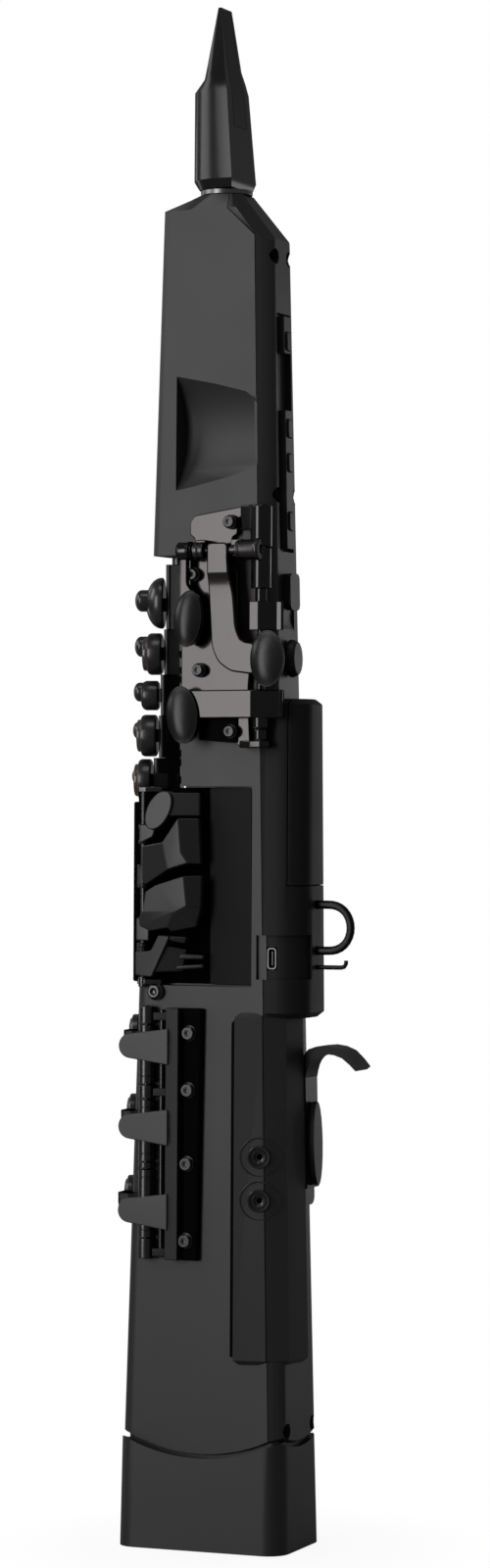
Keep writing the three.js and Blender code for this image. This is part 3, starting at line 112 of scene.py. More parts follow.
floor_radius = 8
shade_start, shade_end, shade_white = 0.02, 0.12, 0.93
floor_shape = bmesh.new()
bmesh.ops.create_circle(floor_shape, cap_ends=True, segments=64, radius=floor_radius)
floor = bpy.data.objects.new("floor", bpy.data.meshes.new("floor"))
floor_shape.to_mesh(floor.data)
floor_shape.free()
bpy.context.scene.collection.objects.link(floor)
paper = bpy.data.materials.new("white_paper")
paper.use_nodes = True
sheet, ties = paper.node_tree.nodes, paper.node_tree.links
matt = sheet["Principled BSDF"]
matt.inputs["Base Color"].default_value = (0.3, 0.3, 0.3, 1)
matt.inputs["Roughness"].default_value = 0.9
glow = sheet.new("ShaderNodeEmission")
lit = sheet.new("ShaderNodeMixShader")
rays = sheet.new("ShaderNodeLightPath")
spot = sheet.new("ShaderNodeTexCoord")
away = sheet.new("ShaderNodeVectorMath")
away.operation = "LENGTH"
fade = sheet.new("ShaderNodeMapRange")
fade.inputs["From Min"].default_value = shade_start
fade.inputs["From Max"].default_value = shade_end
fade.inputs["To Min"].default_value = shade_white
amount = sheet.new("ShaderNodeMath")
amount.operation = "MULTIPLY"
ties.new(spot.outputs["Object"], away.inputs[0])
ties.new(away.outputs["Value"], fade.inputs["Value"])
ties.new(fade.outputs[0], amount.inputs[0])
ties.new(rays.outputs["Is Camera Ray"], amount.inputs[1])
ties.new(amount.outputs[0], lit.inputs[0])
ties.new(matt.outputs[0], lit.inputs[1])
ties.new(glow.outputs[0], lit.inputs[2])
ties.new(lit.outputs[0], sheet["Material Output"].inputs["Surface"])
floor.data.materials.append(paper)


# Body shells
# The long tapered body is two moulded shells of dark satin plastic that meet on a seam along
# both flanks. They are screwed together from the thumb side through six deep wells. The bulge
# on that side is given a darker, duller copy of the plastic as painted shade.
def noise(finish, place, scale, detail):
    """A noise in a finish, read at the place that an output socket gives."""
    cloud = finish.node_tree.nodes.new("ShaderNodeTexNoise")
    cloud.inputs["Scale"].default_value = scale
    cloud.inputs["Detail"].default_value = detail
    finish.node_tree.links.new(place, cloud.inputs["Vector"])
    return cloud.outputs["Fac"]


def waver(finish, cloud, colour, roughness, rougher):
    """Lets a noise sway the colour and the gloss of a finish a little."""
    nodes, links = finish.node_tree.nodes, finish.node_tree.links
    deeper, paler, smoother = 0.88, 1.12, 0.04
    tint = nodes.new("ShaderNodeMixRGB")
    tint.inputs[1].default_value = tuple(part * deeper for part in colour) + (1,)
    tint.inputs[2].default_value = tuple(part * paler for part in colour) + (1,)
    gloss = nodes.new("ShaderNodeMapRange")
    gloss.inputs["To Min"].default_value = roughness - smoother
    gloss.inputs["To Max"].default_value = roughness + rougher
    links.new(cloud, tint.inputs[0])
    links.new(cloud, gloss.inputs["Value"])
    links.new(tint.outputs[0], nodes["Principled BSDF"].inputs["Base Color"])
    links.new(gloss.outputs[0], nodes["Principled BSDF"].inputs["Roughness"])


def relief(finish, cloud, strength, distance):
    """Raises the surface of a finish a little where a noise is high."""
    nodes, links = finish.node_tree.nodes, finish.node_tree.links
    bump = nodes.new("ShaderNodeBump")
    bump.inputs["Strength"].default_value = strength
    bump.inputs["Distance"].default_value = distance
    links.new(cloud, bump.inputs["Height"])
    links.new(bump.outputs["Normal"], nodes["Principled BSDF"].inputs["Normal"])


def moulded_plastic(name, colour, roughness, grain=0.0003, depth=0.15, specular=0.5, coat=0.0):
    """Satin plastic with the fine grain of its mould and a faint unevenness in colour and gloss."""
    finish = bpy.data.materials.new(name)
    finish.use_nodes = True
    shader = finish.node_tree.nodes["Principled BSDF"]
    shader.inputs["Specular IOR Level"].default_value = specular
    shader.inputs["Coat Weight"].default_value = coat
    shader.inputs["Coat Roughness"].default_value = 0.12
    place = finish.node_tree.nodes.new("ShaderNodeTexCoord").outputs["Object"]
    waver(finish, noise(finish, place, scale=38, detail=5), colour, roughness, rougher=0.04)
    relief(finish, noise(finish, place, scale=0.35 / grain, detail=2), depth, distance=0.0001)
    return finish


def seat(mesh, name, finish, node, replaces=True):
    """Adds a mesh to the instrument, on a solid's body and slot, and may put it in its place."""
    piece = bpy.data.objects.new(name, mesh)
    bpy.context.scene.collection.objects.link(piece)
    mesh.materials.clear()
    mesh.materials.append(finish)
    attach(piece, body_of[node])
    if replaces:
        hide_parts(node)
    return piece


def soften(piece, width, angle, segments, clamp):
    """Rounds the sharp edges of a moulded or machined piece and smooths its curved faces."""
    piece.data.shade_smooth()
    edges = piece.modifiers.new("edges", "BEVEL")
    edges.width = width
    edges.segments = segments
    edges.limit_method = "ANGLE"
    edges.angle_limit = math.radians(angle)
    edges.miter_outer = "MITER_ARC"
    edges.use_clamp_overlap = clamp
    even = piece.modifiers.new("faces", "WEIGHTED_NORMAL")
    even.keep_sharp = True
    return piece


def rounded_solid(node, finish, width, angle=28, segments=2):
    """A solid's own form with its loose triangles merged into faces and its edges rounded."""
    same_place, same_plane = 0.000002, math.radians(0.4)
    shape = bmesh.new()
    shape.from_mesh(frame["nodes"][node].data)
    bmesh.ops.remove_doubles(shape, verts=shape.verts[:], dist=same_place)
    bmesh.ops.dissolve_limit(shape, angle_limit=same_plane, verts=shape.verts[:],
                             edges=shape.edges[:])
    mesh = bpy.data.meshes.new(node + "_form")
    shape.to_mesh(mesh)
    shape.free()
    return soften(seat(mesh, node + "_form", finish, node), width, angle, segments, clamp=True)


case_plastic = moulded_plastic("case_plastic", (0.0135, 0.0135, 0.014), 0.46)
case_edge = 0.0005
rounded_solid("front_shell", case_plastic, case_edge)
rear_form = rounded_solid("rear_shell", case_plastic, case_edge)
# A darker, duller copy of the case plastic: painted shade on the bulge.
bulge_painted_shade = moulded_plastic("bulge_painted_shade", (0.011, 0.011, 0.0115), 0.55, specular=0.17)
rear_form.data.materials.append(bulge_painted_shade)
# The bulge's faces between these heights, behind the front, get the painted shade.
bulge_shade_low, bulge_shade_high, bulge_shade_front = 0.241, 0.384, 0.018
for face in rear_form.data.polygons:
    if bulge_shade_low < face.center.z < bulge_shade_high and face.center.y > bulge_shade_front:
        face.material_index = 1

# Bell
# An open cup moulded in the same satin plastic. Its collar slides up inside the body's foot,
# and the cup's top edge follows the body's domed lower edge with a gap of three millimetres.
bell_plastic = moulded_plastic("bell_plastic", (0.0115, 0.0115, 0.012), 0.48)
rounded_solid("bell", bell_plastic, 0.0009, segments=3)

# Mouthpiece and reed
# The black resin mouthpiece is polished and faceted, with a long sloping beak. The reed is a
# thin plastic blade that lies in its flat side.
resin = moulded_plastic("polished_resin", (0.006, 0.006, 0.0065), 0.22, depth=0.03, specular=0.3)
reed_plastic = moulded_plastic("reed_plastic", (0.009, 0.009, 0.0095), 0.45, specular=0.25)
rounded_solid("mouthpiece", resin, 0.0005, angle=22, segments=3)
rounded_solid("reed", reed_plastic, 0.00012)


# Neck
# A plastic tenon stands in the top of the body inside a bright turned ring. A sleeve of cork
# round it holds the mouthpiece by friction.
def plated_metal(name, colour, roughness, brush=(1, 1, 1), coat=0.0):
    """Plated metal with the faint drag lines of its polishing."""
    finish = bpy.data.materials.new(name)
    finish.use_nodes = True
    nodes, links = finish.node_tree.nodes, finish.node_tree.links
    shader = nodes["Principled BSDF"]
    shader.inputs["Metallic"].default_value = 1
    shader.inputs["Coat Weight"].default_value = coat
    place = nodes.new("ShaderNodeTexCoord")
    stretch = nodes.new("ShaderNodeMapping")
    stretch.inputs["Scale"].default_value = brush
    links.new(place.outputs["Object"], stretch.inputs["Vector"])
    drag = noise(finish, stretch.outputs["Vector"], scale=900, detail=3)
    waver(finish, drag, colour, roughness, rougher=0.06)
    relief(finish, drag, strength=0.1, distance=0.00005)
    return finish


bright_ring = plated_metal("bright_ring", (0.16, 0.16, 0.165), 0.3, (1, 1, 0.1))
neck_plastic = moulded_plastic("neck_plastic", (0.02, 0.02, 0.02), 0.4)
cork = moulded_plastic("cork", (0.42, 0.25, 0.12), 0.85, grain=0.0009, depth=0.6, specular=0.2)
rounded_solid("neck_ring", bright_ring, 0.0002, segments=3)
rounded_solid("neck_tenon", neck_plastic, 0.0002)
rounded_solid("neck_cork", cork, 0.0003)

# Battery bulge cover, tray and cells
# The upper part of the bulge lifts off. Under it a moulded tray holds four cells in printed
# sleeves, two and two.
tray_plastic = moulded_plastic("tray_plastic", (0.012, 0.012, 0.012), 0.55)
sleeve = moulded_plastic("cell_sleeve", (0.05, 0.16, 0.32), 0.3, coat=0.4)
# The cover gets the same darker, duller copy of the plastic as the bulge, painted shade.
rounded_solid("battery_cover", bulge_painted_shade, case_edge)
rounded_solid("battery_tray", tray_plastic, 0.0003)
for number in range(1, 5):
    rounded_solid(f"battery_cell_{number}", sleeve, 0.0004, segments=3)

# Circuit board, breath sensor and speaker
# The green board stands behind the key bay and carries the sensor. The speaker sits over the
# bell's deck and sounds down through it.
solder_mask = moulded_plastic("solder_mask", (0.012, 0.09, 0.035), 0.35, grain=0.0006, coat=0.3)
sensor_plastic = moulded_plastic("sensor_plastic", (0.07, 0.07, 0.075), 0.45)
speaker_metal = plated_metal("speaker_metal", (0.05, 0.05, 0.05), 0.4)
rounded_solid("circuit_board", solder_mask, 0.0001)
rounded_solid("breath_sensor", sensor_plastic, 0.0004)
rounded_solid("speaker", speaker_metal, 0.0004)


# Jacks
# Two jacks with black collars and steel contacts in the housing on the left rear corner, each in
# the middle of a shallow engraved ring.
def turned(profile, steps):
    """A body of revolution about the third axis, from (radius, height) pairs."""
    shape = bmesh.new()
    line = [shape.verts.new((radius, 0, height)) for radius, height in profile]
    edges = [shape.edges.new(pair) for pair in zip(line, line[1:])]
    bmesh.ops.spin(shape, geom=line + edges, cent=(0, 0, 0), axis=(0, 0, 1), dvec=(0, 0, 0),
                   angle=math.tau, steps=steps, use_merge=True, use_duplicate=False)
    bmesh.ops.remove_doubles(shape, verts=shape.verts[:], dist=0.001)
    bmesh.ops.recalc_face_normals(shape, faces=shape.faces[:])
    return shape


def moved(shape, *turns):
    """A shape set in place, in millimetres, by one matrix after the other."""
    for turn in turns:
        bmesh.ops.transform(shape, matrix=turn, verts=shape.verts[:])
    return shape


def shift(x, y, z):
    """A move in millimetres."""
    return Matrix.Translation((x, y, z))


def local_frame(origin, across=(1, 0, 0), up=(0, 0, 1)):
    """Millimetres along across, back and up from a point, as metres of the instrument."""
    first, third = Vector(across).normalized(), Vector(up).normalized()
    turn = Matrix((first, third.cross(first), third)).transposed().to_4x4()
    return Matrix.Translation(Vector(origin) / 1000) @ turn @ Matrix.Scale(0.001, 4)


def built(name, shapes, finish, node, at, replaces=True, width=None, angle=28, segments=2):
    """Joins shapes that are made in millimetres in a local frame into one piece."""
    mesh = bpy.data.meshes.new(name)
    assembly = bmesh.new()
    for shape in shapes:
        part = bpy.data.meshes.new("part")
        shape.to_mesh(part)
        shape.free()
        assembly.from_mesh(part)
        bpy.data.meshes.remove(part)
    bmesh.ops.transform(assembly, matrix=at, verts=assembly.verts[:])
    assembly.to_mesh(mesh)
    assembly.free()
    piece = seat(mesh, name, finish, node, replaces)
    if width:
        return soften(piece, width * 0.001, angle, segments, clamp=False)
    mesh.shade_smooth()
    mesh.set_sharp_from_angle(angle=math.radians(angle))
    return piece


out_of_side = Matrix.Rotation(math.pi / 2, 4, "Y")
jack_collar = moulded_plastic("jack_collar", (0.006, 0.006, 0.0065), 0.28)
contact_steel = plated_metal("contact_steel", (0.09, 0.09, 0.092), 0.35)
jacks = {"headphone_jack": ((19.02259, 17.15955, 178.4), (0.97985, 0.19973, 0)),
         "aux_jack": ((19.38942, 17.15955, 158.8), (0.98123, 0.19282, 0))}
collar_profile = [(2, -10), (2, 0.3), (2.5, 0.7), (3.1, 0.75), (3.3, 0.2), (3.9, 0.2), (4.1, 1.0),
                  (4.8, 1.05), (5.15, 0.7), (5.15, -0.2), (3.9, -0.4), (3.9, -10.5), (2, -10.5)]
lip_profile = [(8.2, 0.02), (8.35, 0.16), (8.75, 0.16), (8.9, 0.02)]
spring_profile = [(1.4, -4), (1.4, -1.2), (1.9, -1.0), (1.95, -1.3), (1.95, -4)]
for node, (origin, outward) in jacks.items():
    at = local_frame(origin, outward)
    rings = [moved(turned(profile, steps), out_of_side)
             for profile, steps in ((collar_profile, 40), (lip_profile, 48))]
    built(node + "_body", rings, jack_collar, node, at)
    spring = moved(turned(spring_profile, 24), out_of_side)
    built(node + "_contact", [spring], contact_steel, node, at, replaces=False)


# Charging socket
# A shell of bent steel in the groove of the bulge, with rounded corners. A flat plastic tongue
# stands on the floor inside it.
def prism(corners, reach):
    """A plate between an outline and the same outline moved by a vector."""
    shape = bmesh.new()
    face = shape.faces.new([shape.verts.new(corner) for corner in corners])
    grown = bmesh.ops.extrude_face_region(shape, geom=[face])
    far = [vertex for vertex in grown["geom"] if isinstance(vertex, bmesh.types.BMVert)]
    bmesh.ops.translate(shape, verts=far, vec=reach)
    bmesh.ops.recalc_face_normals(shape, faces=shape.faces[:])
    return shape


def slab(outline, low, high):
    """A plate with an outline in (back, up), from one level to another out of the side."""
    return prism([(low, back, up) for back, up in outline], (high - low, 0, 0))


def oblong(front, rear, low, high):
    """The four corners of an oblong in (back, up)."""
    return [(front, low), (rear, low), (rear, high), (front, high)]


def curved(outline, radius, steps=3):
    """An outline with its corners cut back by a radius and bent round."""
    longest_cut = 0.45
    points = [Vector(point) for point in outline]
    path = []
    for before, corner, after in zip(points[-1:] + points[:-1], points, points[1:] + points[:1]):
        first, last = [corner + (other - corner).normalized()
                       * min(radius, (other - corner).length * longest_cut)
                       for other in (before, after)]
        path += [first.lerp(corner, t).lerp(corner.lerp(last, t), t)
                 for t in (step / steps for step in range(steps + 1))]
    return [tuple(point) for point in path]


def band(shape, first, second):
    """Closes the strip between two loops of corners with faces."""
    for step in range(len(first)):
        shape.faces.new((first[step - 1], first[step], second[step], second[step - 1]))


def frame_bar(outer, inner, low, high):
    """A hollow frame between two outlines with the same number of corners."""
    shape = bmesh.new()
    outer_low, outer_high, inner_low, inner_high = [
        [shape.verts.new((level, back, up)) for back, up in outline]
        for outline in (outer, inner) for level in (low, high)]
    band(shape, outer_low, outer_high)
    band(shape, outer_high, inner_high)
    band(shape, inner_high, inner_low)
    band(shape, inner_low, outer_low)
    bmesh.ops.recalc_face_normals(shape, faces=shape.faces[:])
    return shape


usb = local_frame((14.65324, 21.55955, 267.5))
shell_outer = curved(oblong(-2.1, 2.1, -4.8, 4.8), 1.6, 4)
shell_inner = curved(oblong(-1.6, 1.6, -4.3, 4.3), 1.2, 4)
port_steel = plated_metal("port_steel", (0.1, 0.1, 0.102), 0.3)
port_shell = frame_bar(shell_outer, shell_inner, -6.5, 0.15)
built("usb_port_shell", [port_shell], port_steel, "usb_port", usb)
port_floor = [slab(shell_inner, -6.4, -4.5), slab(oblong(-0.35, 0.35, -3.2, 3.2), -4.6, -0.6)]
built("usb_port_tongue", port_floor, jack_collar, "usb_port", usb, replaces=False, width=0.1)

# Strap ring, cable hook and thumb hook
# Two bent wires of black nickel stand out of the bulge, and under it a plate on the body
# carries the sliding thumb hook, clamped by a long oval knob.
ring_wire = plated_metal("black_nickel_wire", (0.02, 0.02, 0.021), 0.35)
hook_plate = moulded_plastic("hook_plate_finish", (0.006, 0.006, 0.006), 0.4, specular=0.3)
hook_gloss = moulded_plastic("hook_gloss", (0.005, 0.005, 0.0052), 0.34, depth=0.0, specular=0.12)
knob_plastic = moulded_plastic("knob_plastic", (0.008, 0.008, 0.008), 0.45, specular=0.3)
for node in ("strap_ring", "cable_hook"):
    rounded_solid(node, ring_wire, 0.0002, angle=60)
rounded_solid("thumb_hook_plate", hook_plate, 0.0006)
rounded_solid("thumb_hook", hook_gloss, 0.0014, segments=4)
rounded_solid("thumb_hook_screw", knob_plastic, 0.0008, segments=3)


# Upper stack
# Five keys turn on one black nickel rod in the bay. Each has a lever along the rod and a glossy
# cup with a domed tip in front of it, turned toward the player's left. Four cups hold a brown
# pearl, and the front F key's is a bare bowl, taller than it is wide.
def plan(outline, low, high):
    """A bar with an outline in (across, back), from one height to another."""
    return prism([(across, back, low) for across, back in outline], (0, 0, high - low))


def rod(radius, low, high, at, edge=0.35):
    """An upright rod or tube with broken edges."""
    profile = [(0, low), (radius - edge, low), (radius, low + edge), (radius, high - edge),
               (radius - edge, high), (0, high)]
    return moved(turned(profile, 28), shift(*at, 0))


def dome(radius, height, rise, steps):
    """The profile of a dome, from its rim at a height up to its top on the axis."""
    turns = [math.radians(90 / steps * step) for step in range(steps + 1)]
    return [(radius * math.cos(turn), height + rise * math.sin(turn)) for turn in turns]


forward = Matrix.Rotation(math.pi / 2, 4, "X")
to_left = math.radians(18)
rod_metal = plated_metal("black_nickel", (0.07, 0.068, 0.07), 0.27, (1, 1, 0.15), coat=0.1)
key_gloss = moulded_plastic("key_gloss", (0.011, 0.011, 0.0115), 0.3, depth=0.04, coat=0.2)
key_lever = moulded_plastic("key_lever", (0.0045, 0.0045, 0.005), 0.34, depth=0.04, specular=0.35)
pearl = moulded_plastic("brown_pearl", (0.06, 0.042, 0.032), 0.25, grain=0.001, depth=0.1,
                        coat=0.5)
axis_at = (stand.x * 1000, stand.y * 1000)
upper_at = (-8.5, -23.5)
bowl_stretch, bowl_lift, knob_flatness = 1.22, 0.9, 0.62
boss_radius, boss_tall, web_past = 3.1, 3.4, 0.38
upper_keys = {
    # Level, then the back of the cup, its rim, the pearl's face and the tip, then the radii of
    # cup, pearl and knob, the knob's height above the middle, and the lever's foot and head.
    "front_f_key": (428, 27, 32, 35.6, 40.6, 7.4, 9.6, 5, 2, 417.2, 446),
    "b_key": (405.6, 28, 34.8, 37, 40.9, 9.6, 7.7, 4.7, 3.4, 396.5, 416.4),
    "b_flat_bis_key": (386.6, 29.7, 37.2, 37.9, 41.6, 6.8, 5.4, 4.4, 1.6, 377.8, 395.7),
    "a_key": (368.2, 30.6, 38, 39.9, 42, 9.6, 7.4, 3.9, 2.4, 358.4, 377),
    "g_key": (347.8, 33.2, 39.4, 41.3, 42.6, 9.7, 7.4, 3.4, 1.8, 336, 357.6),
}
for node, measures in upper_keys.items():
    level, back, brim, face, tip, cup, disc, knob, above, foot, head = measures
    at = local_frame((*axis_at, level))
    bare_bowl = disc > cup
    if bare_bowl:
        bowl = [(0, back), (disc - 0.8, back), (disc, back + 0.7)]
        bowl += dome(disc, back + 1.4, face - back - 1.4, 10)
    else:
        bowl = [(0, back), (cup - 1.0, back), (cup - 0.1, back + 0.7), (cup, back + 1.4),
                (cup, brim - 1.5), (cup - 0.5, brim - 0.4), (cup - 1.3, brim),
                (disc + 0.5, brim + 0.1), (disc + 0.4, brim - 0.4), (0, brim - 0.4)]
    middle = (back + brim) / 2
    swing = shift(0, -middle, 0) @ Matrix.Rotation(to_left, 4, "Z") @ shift(0, middle, 0)
    tall = Matrix.Scale(bowl_stretch if bare_bowl else 1, 4, (0, 0, 1))
    lifted = shift(0, 0, bowl_lift if bare_bowl else 0)
    knob_rise = knob * knob_flatness
    knob_profile = [(knob, tip - knob - 2)] + dome(knob, tip - knob_rise, knob_rise, 6)
    cup_shapes = [moved(turned(bowl, 40), forward, tall, lifted, swing),
                  moved(turned(knob_profile, 32), forward, shift(0, 0, above), swing)]
    built(node + "_cup", cup_shapes, key_gloss, node, at, angle=35)
    if not bare_bowl:
        disc_profile = [(0, brim - 0.2), (disc, brim - 0.2), (disc, face - 0.7),
                        (disc - 0.3, face - 0.25), (disc - 1, face), (0, face + 0.15)]
        shell_disc = moved(turned(disc_profile, 40), forward, swing)
        built(node + "_pearl", [shell_disc], pearl, node, at, replaces=False, angle=35)
    web_front = 2.2 - back
    web = curved([(-11.2, -21.6), (-11.2, web_front + 1), (-6, web_front), (3.6, web_front),
                  (3.6, web_front + 2.2), (-5.6, -21.6)], 0.8)
    arm = curved([(-5, -21.8), (-6, web_front + 0.4), (-2, -back - 0.3), (3, -back - 0.3),
                  (4.4, web_front + 0.4), (1, -24.4)], 0.8)
    lever = [plan(web, foot - level - web_past, head - level + web_past), plan(arm, -3, 3)]
    for low in (foot - level, -1.7, head - level - boss_tall):
        lever.append(rod(boss_radius, low, low + boss_tall, upper_at))
    built(node + "_lever", lever, key_lever, node, at, replaces=False, width=0.15)

# Upper key rod
# The rod of the upper stack is a black nickel shaft, with a collar near each end where it stands
# in the bay.
upper_rod = local_frame((*axis_at, 0))
shaft = [rod(radius, low, high, upper_at)
         for radius, low, high in ((1.3, 329.4, 453.2), (3, 446.5, 450.2), (3, 332.8, 335.4))]
built("upper_key_rod_shaft", shaft, rod_metal, "upper_key_rod", upper_rod)


# Palm key plate
# A cast and plated plate is screwed to the left flank with four black socket screws. It carries
# a cross pivot with a ribbed nut on two posts. A near-black slab over its foot is painted shade.
def socket_screw(radius, low, top, back, up):
    """A round screw head with a hexagonal socket, standing on its boss out of the side."""
    head = [(0, top - 1.6), (1.5, top - 1.5), (1.5, top - 0.1), (1.6, top), (radius - 0.7, top),
            (radius - 0.1, top - 0.5), (radius, top - 0.9), (radius, top - 1.3),
            (radius - 0.35, top - 1.5), (radius - 0.35, top - 1.8), (radius + 0.3, top - 2.0),
            (radius + 0.5, low)]
    bore = [(0, top - 1.5), (1.2, top - 1.4), (1.22, top - 0.4), (1.52, top - 0.4)]
    return [moved(turned(profile, steps), out_of_side, shift(0, back, up))
            for profile, steps in ((head, 36), (bore, 6))]


backward = Matrix.Rotation(-math.pi / 2, 4, "X")
pivot_out, pivot_up = 9.9, 35


def barrel(radius, front, rear, grooves=()):
    """A turned barrel on the cross pivot, with broken ends and ring grooves."""
    edge, neck = 0.4, radius - 0.35
    profile = [(0, front), (radius - edge, front), (radius, front + edge)]
    for groove in grooves:
        profile += [(radius, groove - 0.35), (neck, groove - 0.2), (neck, groove + 0.2),
                    (radius, groove + 0.35)]
    profile += [(radius, rear - edge), (radius - edge, rear), (0, rear)]
    return moved(turned(profile, 36), backward, shift(pivot_out, 0, pivot_up))


palm = local_frame((12.59471, -3.84045, 416), across=(0.99711, -0.07454, 0.01441),
                   up=(-0.01445, 0, 0.9999))
palm_rod = (4.2, 22)
plate_outline = [(-18.6, -40), (15.6, -40.4), (15.6, -25.6), (17.3, -7), (10.2, -6.4), (9.8, 3),
                 (9.7, 26), (7, 31), (7, 41.4), (9.6, 42.4), (9.8, 50), (16.4, 50.6),
                 (16.9, 55.4), (10.7, 54.9), (-12.2, 51.6), (-14.6, 48.4), (-14.6, 42.6),
                 (-12, 41.2), (-12, 33), (-16.7, 31.5), (-16.6, 18.8), (-16, 8), (-18.7, -8.9)]
toe_outline = [(8, -38), (15.6, -38), (16.4, -54), (9.6, -52.6)]
foot_shade_outline = [(-9.4, -39.2), (10.4, -39.2), (10.4, -51.6), (-9.4, -50.2)]
rod_foot = [(0.4, 12), (5.8, 12), (8.2, 18), (8.4, 24), (5, 26.6), (0.4, 26)]
rod_head = [(0.4, 12), (5.8, 12), (7.8, 17), (8, 20), (0.4, 20)]
plate_screws = ((7, 48), (-11.6, 24.7), (-8.4, -18.6), (7.8, -46.4))
casting = [slab(curved(plate_outline, 1.4), 0.3, 3.6), slab(curved(toe_outline, 0.8), 0.3, 3.2)]
for front, rear in ((-8.6, -3.3), (9.2, 15.2)):
    post = oblong(front, rear, pivot_up - 3, pivot_up + 5)
    casting.append(slab(curved(post, 1.2), 0.4, pivot_out))
casting.append(plan(curved(rod_foot, 0.9), -53.9, -50.6))
casting.append(plan(curved(rod_head, 0.9), 44, 55.3))
nut_profile = [(0, 13), (4, 13), (4.4, 13.4), (4.4, 14.4), (4, 14.6), (4, 15), (4.4, 15.2),
               (4.7, 22.4), (5.1, 23.2), (5.1, 24.2), (4.6, 24.8), (2.2, 24.9), (2, 24.4),
               (1.9, 23), (0, 23)]
nut = moved(turned(nut_profile, 32), backward, shift(pivot_out, 0, pivot_up))
pivot = [barrel(3.9, -8.6, -3.3, (-6,)), barrel(2.4, 9.2, 13.4), barrel(1.4, -17.8, 24), nut]
heads = [shape for back, up in plate_screws for shape in socket_screw(2.9, 3.4, 8, back, up)]
palm_metal = plated_metal("palm_metal", (0.041, 0.0385, 0.038), 0.15, (1, 1, 0.12), coat=0.1)
pivot_metal = plated_metal("pivot_metal", (0.07, 0.066, 0.066), 0.3, (1, 1, 0.12))
# A near-black, barely reflecting finish used as painted shade.
shade_black = moulded_plastic("painted_shade_black", (0.0016, 0.0016, 0.0017), 0.4, specular=0.01)
screw_black = plated_metal("screw_black", (0.052, 0.052, 0.054), 0.3)
built("palm_key_plate_casting", casting, palm_metal, "palm_key_plate", palm, width=0.6,
      segments=3)
built("palm_key_plate_pivot", pivot, pivot_metal, "palm_key_plate", palm, replaces=False,
      width=0.3)
# A black slab over the plate's lower part: painted shade.
built("palm_key_plate_foot_shade", [slab(curved(foot_shade_outline, 1), 0.3, 3.9)], shade_black,
      "palm_key_plate", palm, replaces=False, width=0.4)
built("palm_plate_screws", heads, screw_black, "palm_key_plate", palm, replaces=False)

# Palm key rod
# A plated rod stands upright between the plate's two lugs. It is thick in its upper part and
# slim below, with a collar near its foot, and a hooked block clasps it in the middle.
rod_parts = ((1.5, -54, 55.4, 0.35), (4.9, 36.2, 55.3, 0.5), (4.6, 17.6, 36, 0.4),
             (2.7, 11.6, 18, 0.35), (1.9, -28, -2.4, 0.35), (3.3, -50.4, -45.6, 0.35))
column = [rod(radius, low, high, palm_rod, edge) for radius, low, high, edge in rod_parts]
hooked_block = [(1, 17.4), (7, 17.2), (7.6, 17.8), (7.6, 22.2), (7, 22.7), (3, 28.6), (2.6, 29),
                (2.6, 31.6), (1, 31.8)]
column.append(plan(curved(hooked_block, 0.3), -1, 11.8))
built("palm_key_rod_column", column, palm_metal, "palm_key_rod", palm, width=0.3)


# Palm keys
# Three plated levers, the high D and E flat on the cross pivot and the F on the upright rod.
# Each ends in a deep oval touch of black plastic with a fine rim and a domed face.
def touch(tall, wide, low, top, back, up, lean=0):
    """An oval button with a skirt, whose domed face slopes to the rear and the top."""
    rings = [(0.86, low), (0.93, low + 0.5), (0.95, low + 1.6), (0.97, top - 3),
             (0.99, top - 2.2), (1.0, top - 1.7), (0.99, top - 1.35), (0.965, top - 1.3),
             (0.945, top - 1.45), (0.92, top - 1.4), (0.8, top - 1.0), (0.62, top - 0.58),
             (0.4, top - 0.23), (0.2, top - 0.05)]
    to_rear, to_top, corners = 0.17, 0.06, 40
    turns = [math.tau * step / corners for step in range(corners)]
    shape = bmesh.new()
    loops = [[shape.verts.new((level, wide * share * math.sin(turn), tall * share * math.cos(turn)))
              for turn in turns] for share, level in rings]
    for lower_loop, upper_loop in zip(loops, loops[1:]):
        band(shape, lower_loop, upper_loop)
    shape.faces.new(loops[0])
    shape.faces.new(reversed(loops[-1]))
    for corner in shape.verts:
        slope = max(0, (corner.co.x - low) / (top - low)) ** 2
        corner.co.x -= slope * (to_rear * corner.co.y + to_top * corner.co.z)
    bmesh.ops.recalc_face_normals(shape, faces=shape.faces[:])
    return moved(shape, Matrix.Rotation(math.radians(lean), 4, "X"), shift(0, back, up))


def arched(shape, heights, lift):
    """Cuts a plate across at some heights and bends it out of its plane by a rule."""
    for height in heights:
        whole_plate = shape.verts[:] + shape.edges[:] + shape.faces[:]
        bmesh.ops.bisect_plane(shape, geom=whole_plate, plane_co=(0, 0, height),
                               plane_no=(0, 0, 1), dist=0.0001)
    for corner in shape.verts:
        corner.co.x += lift(corner.co.z)
    return shape


def strap_step(up):
    """How far the strap stands out beyond its flat lower part, at a height."""
    head_foot, bend_foot, head_out, bend_out, bend_length = 25.6, 24, 2.5, 2.2, 6
    if up > head_foot:
        return head_out
    if up > bend_foot:
        sunk = (head_foot - up) / (head_foot - bend_foot)
        return head_out - (head_out - bend_out) * sunk ** 2
    return bend_out * math.exp((up - bend_foot) / bend_length)


